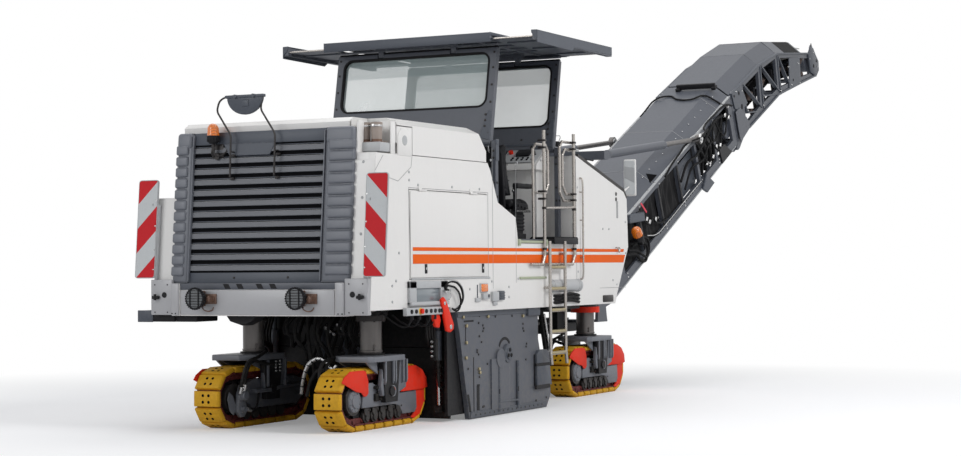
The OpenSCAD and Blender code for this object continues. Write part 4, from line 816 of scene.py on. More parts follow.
        # Sign faces over their plates, with a bare rim and rivets
        face, edge = bmesh.new(), bmesh.new()
        for side in (-1, 1):
            low, high = sorted((side * 1.11, side * 1.316))
            outline(face, "x", rounded((low, 0.047), (high, 0.94), 0.022), -0.0705, -0.0655)
            outline(edge, "x", rounded((low - 0.007, 0.04), (high + 0.007, 0.947), 0.028), -0.068, -0.052)
            block(edge, (-0.055, -0.01), sorted((side * 1.1, side * 1.11)), (0.03, 0.72), 0.002)
        piece(face, "sign_faces", "sign_sheet", LEAN, stands_for=("warning_signs",))
        piece(edge, "sign_edges", "pale_grey", LEAN)
        bm = bmesh.new()
        for side in (-1, 1):
            for z in (0.12, 0.3, 0.52, 0.76):
                bolt(bm, (-0.071, side * 1.118, z), (-1, 0, 0), 0.005, 0.004)
        piece(bm, "sign_rivets", "silver", LEAN)

        # Hose box behind the left corner, with its lid and clips
        bm = bmesh.new()
        block(bm, (-0.86, -0.3), (0.93, 1.34), (0.985, 1.088), 0.012)
        block(bm, (-0.84, -0.5), (0.7, 0.94), (0.985, 1.06), 0.01)
        for x in (-0.7, -0.5):
            block(bm, (x, x + 0.05), (1.335, 1.35), (1.0, 1.08), 0.004)
        outline(bm, "x", [(0.1, 1.04), (0.42, 1.04), (0.38, 0.99), (0.24, 0.95), (0.14, 0.99)], -0.78, -0.62,
            0.006)
        piece(bm, "hose_box", "black_plastic")
        bm = bmesh.new()
        block(bm, (-0.868, -0.855), (1.17, 1.34), (0.982, 1.09), 0.004)
        piece(bm, "hose_box_end", "blue_grey")
        return {"FINISHED"}


class PLANER_OT_exhaust(bpy.types.Operator):
    """Twin pipes in their base, with the white panels round their corner"""

    bl_idname = "planer.exhaust"
    bl_label = "Exhaust"

    def execute(self, context):
        pipes, rust, clamps, bores = bmesh.new(), bmesh.new(), bmesh.new(), bmesh.new()
        for y in (-0.945, -1.063):
            rod(pipes, (-0.6, y, 2.57), (-0.6, y, 2.67), 0.046, 0.049, 28)
            rod(pipes, (-0.6, y, 2.67), (-0.6, y, 2.745), 0.049, 0.052, 28)
            rod(rust, (-0.6, y, 2.57), (-0.6, y, 2.596), 0.05, 0.047, 28)
            rod(clamps, (-0.6, y, 2.706), (-0.6, y, 2.722), 0.0535, sides=28)
            block(clamps, (-0.672, -0.645), (y - 0.012, y + 0.012), (2.702, 2.726), 0.003)
            rod(bores, (-0.6, y, 2.74), (-0.6, y, 2.747), 0.045, sides=28)
        block(rust, (-0.672, -0.528), (-1.138, -0.902), (2.566, 2.574), 0.004, 1)
        piece(pipes, "exhaust_outlets", "heat_steel", stands_for=("exhaust_pipes",), smooth=50)
        piece(rust, "exhaust_collars", "rust_steel")
        piece(clamps, "exhaust_clamps", "silver")
        piece(bores, "exhaust_bores", "bore_shade")
        bm = bmesh.new()
        block(bm, (-0.688, -0.502), (-1.142, -0.9), (2.484, 2.568), 0.008)
        piece(bm, "exhaust_base", "pale_grey")
        # White panels round the corner, flush with the leaning rear face
        bm = bmesh.new()
        block(bm, (0.0, 0.36), (-1.1465, -0.93), (0.99, 1.139), 0.004)
        block(bm, (0.0, 0.1), (-0.965, -0.945), (1.0, 1.43), 0.005)
        piece(bm, "exhaust_rear_panels", "white_paint", LEAN)
        bm = bmesh.new()
        block(bm, (-0.68, -0.4), (-0.856, -0.848), (2.41, 2.78), 0.002)
        block(bm, (-0.41, -0.396), (-1.1465, -0.85), (2.41, 2.775), 0.002)
        block(bm, (-0.5, -0.392), (-1.1465, -1.135), (2.465, 2.76), 0.004)
        block(bm, (-0.394, -0.108), (-1.1465, -1.14), (2.465, 2.722), 0.002)
        piece(bm, "exhaust_corner_panels", "white_paint")
        bm = bmesh.new()
        for z in (0.42, 0.74, 1.055):
            bolt(bm, (0.0, -1.03, z), (-1, 0, 0), 0.01, 0.005)
        piece(bm, "rear_panel_screws", "pale_grey", LEAN)
        return {"FINISHED"}


class PLANER_OT_tracks(bpy.types.Operator):
    """Shoes, chains, guards, wheels and motors of the four tracks"""

    bl_idname = "planer.tracks"
    bl_label = "Tracks"

    half = 0.52
    wheel = 0.28

    def spot(self, run):
        """Place and slope of a point that far along the loop, from the top rear end forward"""
        flat, arc = 2 * self.half, math.pi * self.wheel
        run %= 2 * (flat + arc)
        if run < flat:
            return Vector((run - self.half, 0, 2 * self.wheel)), 0.0, False
        if run < flat + arc:
            a = (run - flat) / self.wheel
            return Vector((self.half + self.wheel * math.sin(a), 0,
                self.wheel + self.wheel * math.cos(a))), a, True
        if run < 2 * flat + arc:
            return Vector((self.half - (run - flat - arc), 0, 0)), math.pi, False
        a = (run - 2 * flat - arc) / self.wheel + math.pi
        return Vector((-self.half + self.wheel * math.sin(a), 0,
            self.wheel + self.wheel * math.cos(a))), a, True

    def loop(self, count):
        """Pads, chain and bolt holes of one loop, about its own middle"""
        pads, chain, holes = bmesh.new(), bmesh.new(), bmesh.new()
        pitch = 2 * (2 * self.half + math.pi * self.wheel) / count
        for i in range(count):
            place, slope, bent = self.spot((i + 0.5) * pitch)
            top = -0.006 if bent else 0.0
            put = Matrix.Translation(place) @ Matrix.Rotation(slope, 4, "Y")
            verts = outline(pads, "x", [(-0.122, -0.056), (-0.14, -0.042), (-0.14, top - 0.016),
                (-0.124, top),
                                        (0.124, top), (0.14, top - 0.016), (0.14, -0.042), (0.122, -0.056)],
                            -pitch * 0.405, pitch * 0.405, 0.006, 2)
            turned(pads, verts, put)
            verts = block(chain, (-pitch * 0.49, pitch * 0.44), (-0.13, 0.13), (-0.068, -0.054), 0.003, 1)
            for y in (-0.085, -0.052, 0.052, 0.085):
                verts += block(chain, (-pitch * 0.52, pitch * 0.52), (y - 0.012, y + 0.012), (-0.118, -0.066),
                    0.006, 1)
            verts += rod(chain, (-pitch / 2, -0.108, -0.094), (-pitch / 2, 0.108, -0.094), 0.018, sides=10)
            turned(chain, verts, put)
            verts = []
            for x in (-0.03, 0.03):
                for y in (-0.031, 0.031):
                    verts += rod(holes, (x, y, top - 0.004), (x, y, top + 0.0006), 0.014, sides=12)
            turned(holes, verts, put)
        return pads, chain, holes

    def execute(self, context):
        count = context.scene.planer_sizes.shoe_count
        for end, x in (("rear", 0.0), ("front", WHEELBASE)):
            for hand, side in (("right", -1), ("left", 1)):
                body = f"{end}_{hand}_track"
                put = Matrix.Translation((x, side * TRACK_Y, 0)) @ Matrix.Diagonal((1, side, 1, 1))
                pads, chain, holes = self.loop(count)
                piece(pads, f"{body}_shoes", "track_pads", put, body=body, stands_for=(body,))
                piece(chain, f"{body}_chain", "chain_red_and_gap_shade", put, body=body)
                piece(holes, f"{body}_bolt_holes", "bore_shade", put, body=body)
                self.frame_parts(body, put)
        return {"FINISHED"}

    def frame_parts(self, body, put):
        """Guards, ribbed plates, hub, motor and rollers; y is away from the machine's middle"""
        # Red guards over both wheels, on the outer face
        bm = bmesh.new()
        rear = [(-0.775, 0.452), (-0.735, 0.496), (-0.63, 0.546), (-0.4, 0.546), (-0.355, 0.535),
            (-0.312, 0.44),
                (-0.312, 0.335), (-0.345, 0.31), (-0.395, 0.31), (-0.43, 0.345), (-0.53, 0.36), (-0.62,
                    0.395)]
        fore = [(0.305, 0.43), (0.345, 0.52), (0.4, 0.548), (0.57, 0.546), (0.7, 0.5), (0.782, 0.42),
            (0.8, 0.33),
                (0.72, 0.314), (0.29, 0.314), (0.278, 0.33)]
        for points in (rear, fore):
            outline(bm, "y", points, 0.1415, 0.153, 0.004, 2)
        outline(bm, "y", [(0.6, 0.31), (0.78, 0.33), (0.775, 0.2), (0.7, 0.09), (0.56, 0.05), (0.5, 0.06),
            (0.6, 0.12)],
                0.118, 0.138, 0.003)
        piece(bm, f"{body}_guards", "red_paint", put, body=body)

        # Fork, roller frame and lower plates
        bm = bmesh.new()
        low = [(-0.4, 0.205), (-0.39, 0.305), (-0.305, 0.42), (-0.21, 0.425), (-0.16, 0.4), (0.26, 0.4),
            (0.29, 0.305),
               (0.6, 0.31), (0.612, 0.15), (0.575, 0.106), (0.345, 0.106), (0.285, 0.185), (0.2, 0.205)]
        outline(bm, "y", low, 0.105, 0.138, 0.006, 2)
        web = [(-0.175, 0.385), (-0.135, 0.61), (0.0, 0.63), (0.29, 0.63), (0.29, 0.36), (0.1, 0.3),
            (-0.15, 0.3)]
        outline(bm, "y", web, 0.163, 0.205, 0.008, 2)
        for x in (-0.125, 0.02, 0.062, 0.205, 0.268):
            outline(bm, "y", [(x - 0.011, 0.4), (x - 0.011, 0.62), (x + 0.011, 0.62), (x + 0.011, 0.44)], 0.2,
                0.232, 0.003, 1)
        block(bm, (0.02, 0.062), (0.198, 0.206), (0.46, 0.56), 0.004)
        # Top plate with its flange, stiffeners under it
        outline(bm, "z", [(-0.4, 0.2), (-0.34, 0.232), (0.225, 0.232), (0.235, 0.2), (0.235, -0.2),
                          (0.16, -0.232), (-0.25, -0.232), (-0.4, -0.1)], 0.612, 0.664, 0.006, 2)
        outline(bm, "y", [(-0.395, 0.62), (-0.2, 0.62), (-0.18, 0.5), (-0.3, 0.56)], 0.155, 0.175, 0.003)
        for y in (-0.14, 0.14):
            outline(bm, "y", [(-0.36, 0.62), (-0.1, 0.62), (-0.1, 0.52), (-0.28, 0.585)], y - 0.008,
                y + 0.008, 0.002)
        rod(bm, (0.02, 0.135, 0.34), (0.02, 0.222, 0.34), 0.052, sides=22)
        piece(bm, f"{body}_fork_plates", "post_grey", put, body=body)

        # Hub discs of the sprocket and idler, motor plate on the inner side
        bm = bmesh.new()
        for x in (-0.52, 0.52):
            rod(bm, (x, -0.118, 0.28), (x, 0.118, 0.28), 0.135, sides=32)
            for k in range(13):
                a = k * math.tau / 13
                rod(bm, (x + 0.15 * math.sin(a), -0.05, 0.28 + 0.15 * math.cos(a)),
                    (x + 0.15 * math.sin(a), 0.05, 0.28 + 0.15 * math.cos(a)), 0.028, sides=8)
        piece(bm, f"{body}_wheels", "dark_steel", put, body=body)
        bm = bmesh.new()
        rod(bm, (-0.52, 0.116, 0.275), (-0.52, 0.134, 0.275), 0.106, 0.098, 30)
        rod(bm, (-0.52, 0.13, 0.275), (-0.52, 0.146, 0.275), 0.066, 0.058, 26)
        for k in range(10):
            a = k * math.tau / 10
            bolt(bm, (-0.52 + 0.082 * math.sin(a), 0.134, 0.275 + 0.082 * math.cos(a)), (0, 1, 0), 0.007,
                0.006)
        # Motor on the inner side: plate, cranked arm, body
        outline(bm, "y", [(-0.56, 0.12), (-0.62, 0.16), (-0.66, 0.27), (-0.63, 0.34), (-0.57, 0.3),
            (-0.52, 0.19)], -0.14, -0.15, 0.004)
        outline(bm, "y", [(-0.5, 0.1), (-0.55, 0.15), (-0.53, 0.3), (-0.49, 0.4), (-0.46, 0.385),
            (-0.445, 0.3), (-0.4, 0.21), (-0.4, 0.14), (-0.44, 0.1)],
                -0.15, -0.185, 0.006, 2)
        rod(bm, (-0.478, -0.15, 0.3), (-0.478, -0.235, 0.3), 0.052, 0.04, 20)
        rod(bm, (-0.46, -0.15, 0.17), (-0.46, -0.212, 0.17), 0.034, 0.028, 16)
        for x, z in ((-0.52, 0.245), (-0.52, 0.31), (-0.435, 0.345), (-0.43, 0.25), (-0.41, 0.16),
            (-0.49, 0.125)):
            bolt(bm, (x, -0.183, z), (0, -1, 0), 0.009, 0.01)
        piece(bm, f"{body}_hub", "post_grey", put, body=body)
        bm = bmesh.new()
        outline(bm, "y", [(-0.36, 0.22), (-0.36, 0.4), (-0.24, 0.44), (0.44, 0.44), (0.62, 0.4), (0.62, 0.24),
            (0.5, 0.17), (-0.25, 0.17)],
                -0.1, -0.158, 0.01, 2)
        outline(bm, "y", [(-0.3, 0.31), (-0.3, 0.345), (0.0, 0.345), (0.12, 0.365), (0.56, 0.365),
            (0.56, 0.345), (0.12, 0.33), (0.02, 0.31)], -0.156, -0.226, 0.006, 2)
        outline(bm, "y", [(-0.14, 0.34), (-0.14, 0.62), (0.24, 0.62), (0.24, 0.36)], -0.163, -0.212, 0.01, 2)
        for x in (-0.1, 0.2):
            block(bm, (x - 0.012, x + 0.012), (-0.236, -0.205), (0.36, 0.62), 0.004)
        for x in (0.34, 0.42):
            for z in (0.39, 0.42):
                bolt(bm, (x, -0.158, z), (0, -1, 0), 0.011, 0.012)
        piece(bm, f"{body}_inner_plates", "grey_paint", put, body=body)

        # Rollers with their clasping lugs
        bm = bmesh.new()
        for i in range(5):
            x = -0.3 + i * 0.145
            rod(bm, (x, -0.112, 0.13), (x, 0.112, 0.13), 0.052, sides=20)
            for y in (-0.108, 0.108):
                rod(bm, (x, y - 0.012, 0.13), (x, y + 0.012, 0.13), 0.063, sides=20)
            outline(bm, "y", [(x - 0.055, 0.16), (x - 0.05, 0.2), (x + 0.052, 0.2), (x + 0.065, 0.175),
                (x + 0.03, 0.165),
                              (x + 0.025, 0.1), (x + 0.005, 0.075), (x - 0.03, 0.1), (x - 0.02,
                                  0.13)], 0.118, 0.134, 0.004)
            bolt(bm, (x + 0.03, 0.134, 0.185), (0, 1, 0), 0.009, 0.009)
        piece(bm, f"{body}_rollers", "dark_steel", put, body=body)

        # Hydraulic block and hoses of the track, on both faces
        black, bright, orange = bmesh.new(), bmesh.new(), bmesh.new()
        block(black, (-0.2, -0.14), (0.136, 0.165), (0.255, 0.325), 0.006)
        block(black, (-0.12, -0.03), (0.136, 0.175), (0.27, 0.32), 0.008)
        for x, z in ((-0.19, 0.38), (-0.15, 0.37), (-0.13, 0.275), (-0.06, 0.28)):
            rod(black, (x, 0.136, z), (x, 0.18, z), 0.014, sides=10)
        tube(black, [(-0.47, -0.2, 0.36), (-0.46, -0.22, 0.5), (-0.38, -0.225, 0.6), (-0.2, -0.222, 0.585),
            (-0.02, -0.23, 0.56)], 0.016, 8)
        tube(black, [(-0.53, -0.2, 0.34), (-0.53, -0.23, 0.47), (-0.46, -0.24, 0.6), (-0.3, -0.235, 0.64),
            (-0.12, -0.215, 0.69)], 0.016, 8)
        tube(black, [(-0.41, -0.2, 0.17), (-0.3, -0.2, 0.15), (-0.22, -0.19, 0.24), (-0.2, -0.19, 0.33)],
            0.01, 8)
        piece(black, f"{body}_hoses", "belt_rubber", put, body=body)
        for p, q in (((-0.475, -0.2, 0.34), (-0.468, -0.213, 0.4)),
            ((-0.53, -0.2, 0.32), (-0.53, -0.218, 0.38)),
                     ((-0.42, -0.195, 0.17), (-0.36, -0.2, 0.158)), ((-0.09, 0.176, 0.3),
                         (-0.05, 0.19, 0.3))):
            rod(bright, p, q, 0.021, sides=8)
        for z in (0.5, 0.53, 0.56, 0.59):
            for x in (0.05, 0.12):
                bolt(bright, (x, -0.212, z), (0, -1, 0), 0.011, 0.014)
        piece(bright, f"{body}_fittings", "silver", put, body=body)
        outline(orange, "y", [(0.02, 0.352), (0.038, 0.377), (0.056, 0.352), (0.038, 0.327)], 0.2225, 0.2235)
        piece(orange, f"{body}_marker", "orange_film", put, body=body)


class PLANER_OT_columns(bpy.types.Operator):
    """Lifting columns: bright tubes, gaiter and collars"""

    bl_idname = "planer.columns"
    bl_label = "Columns"

    def execute(self, context):
        for end, x in (("rear", 0.0), ("front", WHEELBASE)):
            for hand, side in (("right", -1), ("left", 1)):
                body = f"{end}_{hand}_track"
                bm = bmesh.new()
                y = side * TRACK_Y
                rod(bm, (x, y, 0.66), (x, y, 0.998), 0.1015, sides=40)
                for z in (0.675, 0.7):
                    rod(bm, (x, y, z - 0.008), (x, y, z + 0.008), 0.108, sides=40)
                for k in (0, 1):
                    bolt(bm, (x - 0.075, y - 0.078, 0.72 + k * 0.03), (-0.7, -0.7, 0), 0.009, 0.009)
                piece(bm, f"{body}_column_skin", "column_steel", body=body, smooth=50)
                bm = bmesh.new()
                rod(bm, (x, y, 0.975), (x, y, 1.03), 0.138, sides=36)
                for k in range(8):
                    a = k * math.tau / 8
                    bolt(bm, (x + 0.125 * math.cos(a), y + 0.125 * math.sin(a), 0.976), (0, 0, -1), 0.009,
                        0.01)
                piece(bm, f"{body}_sleeve_ring", "dark_steel")

        # Creased rubber gaiter round the right rear column, below the panel
        bm = bmesh.new()
        rows, sides = 7, 44
        rings = []
        for j in range(rows):
            z = 1.145 - j * 0.021
            ring = bmesh.ops.create_circle(bm, segments=sides, radius=0.132)["verts"]
            for v in ring:
                a = math.atan2(v.co.y, v.co.x)
                swell = 0.034 * math.sin(math.pi * min(1, (j + 0.7) / (rows - 0.4)))
                crease = 0.009 * math.sin(9 * a + j * 2.2) + 0.006 * math.sin(17 * a - j * 3.1)
                crease += 0.011 * (j % 2)
                v.co.xy = v.co.xy.normalized() * (0.128 + swell + crease)
                v.co.z = z + 0.009 * math.sin(6 * a + j)
            rings.append(ring)
        edges = [[e for v in ring for e in v.link_edges] for ring in rings]
        for over, under in zip(edges, edges[1:]):
            bmesh.ops.bridge_loops(bm, edges=list(set(over) | set(under)))
        bmesh.ops.translate(bm, vec=(0, -TRACK_Y, 0), verts=bm.verts)
        gaiter = piece(bm, "column_gaiter", "belt_rubber", smooth=50)
        thick = gaiter.modifiers.new("wall", "SOLIDIFY")
        thick.thickness = 0.006
        bm = bmesh.new()
        for x, y, z in ((-0.2, -0.7, 1.09), (-0.17, -0.73, 1.12), (-0.21, -0.66, 1.12), (-0.15, -0.76, 1.08)):
            rod(bm, (x, y, z), (x + 0.03, y - 0.025, z + 0.015), 0.017, sides=8)
            rod(bm, (x - 0.02, y + 0.01, z - 0.01), (x, y, z), 0.012, sides=8)
        piece(bm, "gaiter_fittings", "silver")

        # Red collar over the right front column
        bm = bmesh.new()
        rod(bm, (WHEELBASE, -TRACK_Y, 0.93), (WHEELBASE, -TRACK_Y, 0.996), 0.165, sides=36)
        piece(bm, "front_column_collar", "red_paint")
        return {"FINISHED"}


class PLANER_OT_side_panels(bpy.types.Operator):
    """Seams, screws, stripes and fittings of the long side panels"""

    bl_idname = "planer.side_panels"
    bl_label = "Side Panels"

    def seams(self, mirrored):
        """Joints, screws, stripes, door and ears of one side; y = 0 is the panel's face"""
        tag = "left" if mirrored else "right"
        y = (-0.0016, 0.001)
        bm = bmesh.new()

        def line(p, q, wide=0.0045):
            """A dark joint between two points of the panel"""
            p, q = Vector((p[0], 0, p[1])), Vector((q[0], 0, q[1]))
            across = (q - p).cross(Vector((0, 1, 0))).normalized() * wide / 2
            outline(bm, "y", [(v.x, v.z) for v in (p - across, p + across, q + across, q - across)], *y)

        corner = (
            ((-0.775, 2.293), (-0.379, 2.232)), ((-0.379, 2.232), (-0.137, 2.367)), ((-0.137, 2.367),
                (-0.117, 2.466)),
            ((-0.644, 2.451), (-0.786, 2.314)),
        )
        for p, q in (() if mirrored else corner) + (
            ((-0.155, 1.345), (-0.19, 2.18)),
            ((-0.19, 2.18), (1.4, 2.18)), ((1.4, 2.18), (1.4, 1.345)), ((1.5, 1.25), (1.5, 2.62)),
            ((3.5, 1.31), (3.5, 2.6)), ((4.12, 1.217), (4.86, 1.217)), ((2.02, 1.3), (2.02, 2.6)),
        ):
            line(p, q)
        line((4.63, 1.99), (4.63, 2.18), 0.045)
        piece(bm, f"{tag}_panel_seams", "joint_shade", SKIN, mirrored=mirrored)

        bm = bmesh.new()
        for x, z in ((-0.175, 2.32), (-0.176, 2.248), (-0.009, 2.209), (0.654, 2.212), (1.22, 2.21),
            (-0.372, 1.592), (-0.43, 1.344),
                     (-0.62, 1.63), (-0.62, 2.05), (1.47, 1.32), (1.47, 2.5), (2.06, 2.5), (2.06,
                         1.34), (2.62, 2.55), (3.2, 2.55),
                     (3.54, 2.3), (3.54, 1.4), (4.39, 1.865), (4.22, 1.865), (4.49, 1.3), (4.6, 1.25),
                     (4.86, 1.95), (4.86, 1.6), (-0.5, 1.16), (-0.5, 1.3), (0.6, 1.245), (1.0, 1.25), (1.85,
                         1.16), (1.85, 1.26)):
            bolt(bm, (x, 0, z), (0, -1, 0), 0.0095, 0.005)
        for z in (2.06, 1.76, 1.46):
            bolt(bm, (-0.865 - (z - 1.34) * 0.0857 + 0.055, -0.001, z), (0, -1, 0), 0.01, 0.005)
        piece(bm, f"{tag}_panel_screws", "pale_grey", SKIN, mirrored=mirrored)
        bm = bmesh.new()
        block(bm, (-0.155, 1.433), (-0.006, 0.002), (1.3475, 1.3655), 0.003)
        piece(bm, f"{tag}_door_rail", "pale_grey", SKIN, mirrored=mirrored)
        bm = bmesh.new()
        for z in (2.2, 2.26):
            rod(bm, (4.6, -0.004, z), (4.6, 0, z), 0.022, sides=14)
        rod(bm, (-0.41, -0.002, 2.478), (-0.41, -0.002, 2.572), 0.006, sides=8)
        block(bm, (4.2, 4.48), (-0.012, 0.03), (1.06, 1.136), 0.01)
        outline(bm, "y", [(3.56, 2.625), (4.82, 2.292), (4.9, 2.222), (4.925, 2.236), (4.836, 2.326),
            (3.566, 2.66)], 0, 0.03)
        piece(bm, f"{tag}_panel_slots", "dark_steel", SKIN, mirrored=mirrored)

        # Two stripes: thin over thick, their front ends slanted
        low = bpy.context.scene.planer_sizes.stripe_low
        for name, x0, x1, body in ((f"{tag}_stripes", 1.373, 4.795, "chassis"),
            (f"{tag}_door_stripes", -0.135, 1.367, f"{tag}_service_door")):
            bm = bmesh.new()
            skin = -(0.0095 if body != "chassis" else 0.0)
            for z0, z1 in ((low, low + 0.086), (low + 0.117, low + 0.15)):
                tip = (z1 - z0) * 0.6 if body == "chassis" else 0.0
                outline(bm, "y", [(x0, z0), (x1, z0), (x1 + tip, z1), (x0, z1)], skin - 0.0015, skin + 0.001)
            piece(bm, name, "orange_film", SKIN, body=body, mirrored=mirrored)

        # Service door: pressed skin and latches
        bm = bmesh.new()
        block(bm, (-0.17, 1.36), (-0.0095, -0.002), (1.37, 2.15), 0.006, 3)
        piece(bm, f"{tag}_door_skin", "white_paint", SKIN, body=f"{tag}_service_door", mirrored=mirrored)
        bm = bmesh.new()
        for x in (0.11, 1.262):
            block(bm, (x - 0.012, x + 0.012), (-0.0175, -0.008), (1.44, 1.462), 0.002)
        piece(bm, f"{tag}_door_latch_plates", "pale_grey", SKIN, body=f"{tag}_service_door",
            mirrored=mirrored)
        bm = bmesh.new()
        for x in (0.11, 1.262):
            block(bm, (x - 0.021, x + 0.021), (-0.0165, -0.008), (1.405, 1.492), 0.006)
        piece(bm, f"{tag}_door_latches", "black_plastic", SKIN, body=f"{tag}_service_door", mirrored=mirrored)

        # Lifting ears with rounded shoulders
        bm = bmesh.new()
        x = -0.256
        turns = [k * math.pi / 14 for k in range(15)]
        arc = [(x + 0.125 * math.cos(a), 2.6 + 0.112 * math.sin(a)) for a in turns]
        outline(bm, "y", [(x + 0.128, 2.46)] + arc + [(x - 0.128, 2.46)], -0.004, 0.042, 0.006, 2)
        piece(bm, f"{tag}_lifting_ears", "white_paint", SKIN, mirrored=mirrored)
        bm = bmesh.new()
        rod(bm, (x, -0.0055, 2.6), (x, 0.0435, 2.6), 0.045, sides=24)
        piece(bm, f"{tag}_ear_bores", "pale_grey", SKIN, mirrored=mirrored)

    def execute(self, context):
        for mirrored in (False, True):
            self.seams(mirrored)
        return {"FINISHED"}


class PLANER_OT_side_controls(bpy.types.Operator):
    """Tool tray, button strip, levers, coiled hose, boxes and markers"""

    bl_idname = "planer.side_controls"
    bl_label = "Side Controls"

    def right_controls(self):
        """Buttons, red levers and the spring hose, on the right side alone"""
        bm = bmesh.new()
        for x, z in ((-0.245, 1.067), (-0.16, 1.067), (0.03, 1.066), (0.12, 1.066), (0.2, 1.066),
            (0.28, 1.066), (0.33, 1.066)):
            rod(bm, (x, -0.05, z), (x, -0.062, z), 0.019, sides=16)
        for x in (-0.2, -0.06, 0.14, 0.24):
            rod(bm, (x, -0.03, 1.03), (x, -0.03, 0.99), 0.015, sides=10)
            tube(bm, [(x, -0.03, 0.995), (x + 0.01, 0.03, 0.93), (x + 0.03, 0.16, 0.96),
                (x + 0.02, 0.26, 1.03)], 0.008, 8)
        piece(bm, "right_sockets", "black_plastic", SKIN)
        bm = bmesh.new()
        rod(bm, (-0.075, -0.05, 1.068), (-0.075, -0.056, 1.068), 0.032, sides=24)
        piece(bm, "right_stop_plate", "stop_yellow", SKIN)
        bm = bmesh.new()
        rod(bm, (-0.075, -0.054, 1.068), (-0.075, -0.08, 1.068), 0.021, 0.024, 20)
        # Red lever hanging under the tray, and a second one behind it
        outline(bm, "y", [(0.3, 1.165), (0.35, 1.19), (0.395, 1.16), (0.545, 0.935), (0.54, 0.885),
            (0.48, 0.857),
                          (0.405, 0.872), (0.375, 0.95), (0.345, 1.04)], -0.068, -0.04, 0.01, 3)
        outline(bm, "y", [(0.215, 1.03), (0.33, 1.03), (0.36, 0.975), (0.33, 0.905), (0.262, 0.915),
            (0.235, 0.97)], -0.03, 0.004, 0.008, 2)
        piece(bm, "right_red_levers", "red_paint", SKIN)
        bm = bmesh.new()
        rod(bm, (0.36, -0.072, 1.13), (0.36, -0.02, 1.13), 0.018, sides=14)
        rod(bm, (0.478, -0.072, 0.91), (0.478, -0.03, 0.91), 0.022, sides=16)
        for x, z in ((0.4, 1.245), (0.43, 1.245), (0.46, 1.245)):
            rod(bm, (x, -0.032, z), (x - 0.02, -0.075, z - 0.012), 0.011, sides=8)
        outline(bm, "y", [(0.35, 1.165), (0.545, 1.155), (0.58, 1.185), (0.57, 1.225), (0.48, 1.245)], -0.026,
            0.004, 0.006)
        piece(bm, "right_lever_pins", "silver", SKIN)

        # Spring hose: a pale coil over its black core
        core = [(0.42, -0.035, 1.27), (0.47, -0.045, 1.316), (0.56, -0.06, 1.326), (0.665, -0.062, 1.292),
                (0.74, -0.055, 1.228), (0.757, -0.048, 1.15), (0.715, -0.035, 1.095), (0.64, -0.015, 1.062)]
        second = [(p[0] - 0.045, p[1], p[2] - 0.042) for p in core[1:-1]]
        bm = bmesh.new()
        tube(bm, core, 0.01, 8)
        tube(bm, [(0.5, -0.035, 1.25)] + second + [(0.6, -0.02, 1.075)], 0.01, 8)
        piece(bm, "right_spring_hose_core", "belt_rubber", SKIN)
        bm = bmesh.new()
        tube(bm, [(p[0] + 0.012, p[1] - 0.004, p[2] + 0.01) for p in core], 0.006, 6)
        piece(bm, "right_spring_hose_tube", "pale_grey", SKIN)

    def one_side(self, mirrored):
        """Tray, boxes, cylinder and loops of one side"""
        tag = "left" if mirrored else "right"
        # Sloping tray with its lip
        bm = bmesh.new()
        for x in ((-0.225, -0.1), (0.36, 0.5)):
            block(bm, x, (-0.03, 0.004), (1.125, 1.338), 0.006)
        block(bm, (-0.225, 0.5), (-0.03, 0.004), (1.272, 1.338), 0.006)
        block(bm, (-0.225, 0.5), (-0.045, 0.004), (1.118, 1.152), 0.006)
        outline(bm, "x", [(-0.052, 1.102), (-0.052, 1.03), (-0.01, 1.03), (-0.01, 1.102)], -0.33, 0.4, 0.006,
            2)
        piece(bm, f"{tag}_tray", "pale_grey", SKIN, mirrored=mirrored)
        bm = bmesh.new()
        block(bm, (-0.12, 0.38), (-0.01, -0.004), (1.146, 1.276), 0.002)
        outline(bm, "x", [(-0.008, 1.158), (-0.026, 1.15), (-0.026, 1.144), (-0.008, 1.15)], -0.09, 0.36)
        piece(bm, f"{tag}_tray_glass", "tray_grey", SKIN, mirrored=mirrored)
        if not mirrored:
            self.right_controls()

        # Marker, small boxes and brackets ahead of it
        bm = bmesh.new()
        block(bm, (1.215, 1.357), (-0.022, 0.004), (1.22, 1.298), 0.012, 3)
        piece(bm, f"{tag}_marker", "amber_lens", SKIN, mirrored=mirrored)
        bm = bmesh.new()
        block(bm, (1.205, 1.368), (-0.014, 0.004), (1.213, 1.305), 0.008)
        for x, z in (((1.235, 1.37), (1.148, 1.205)), ((1.44, 1.575), (1.125, 1.22))):
            block(bm, x, (-0.032, 0.004), z, 0.008)
        block(bm, (1.48, 1.56), (-0.02, 0.004), (1.085, 1.13), 0.006)
        block(bm, (1.1, 1.2), (-0.018, 0.004), (1.125, 1.165), 0.006)
        piece(bm, f"{tag}_small_boxes", "pale_grey", SKIN, mirrored=mirrored)
        bm = bmesh.new()
        block(bm, (1.588, 1.7), (-0.03, 0.004), (1.135, 1.225), 0.006)
        block(bm, (1.325, 1.36), (-0.036, -0.03), (1.165, 1.195), 0.003)
        block(bm, (1.15, 1.165), (-0.006, 0.004), (1.13, 1.29), 0.003)
        for z in (1.155, 1.18, 1.205):
            block(bm, (1.59, 1.698), (-0.034, -0.028), (z - 0.004, z + 0.004))
        piece(bm, f"{tag}_small_grilles", "blue_grey", SKIN, mirrored=mirrored)

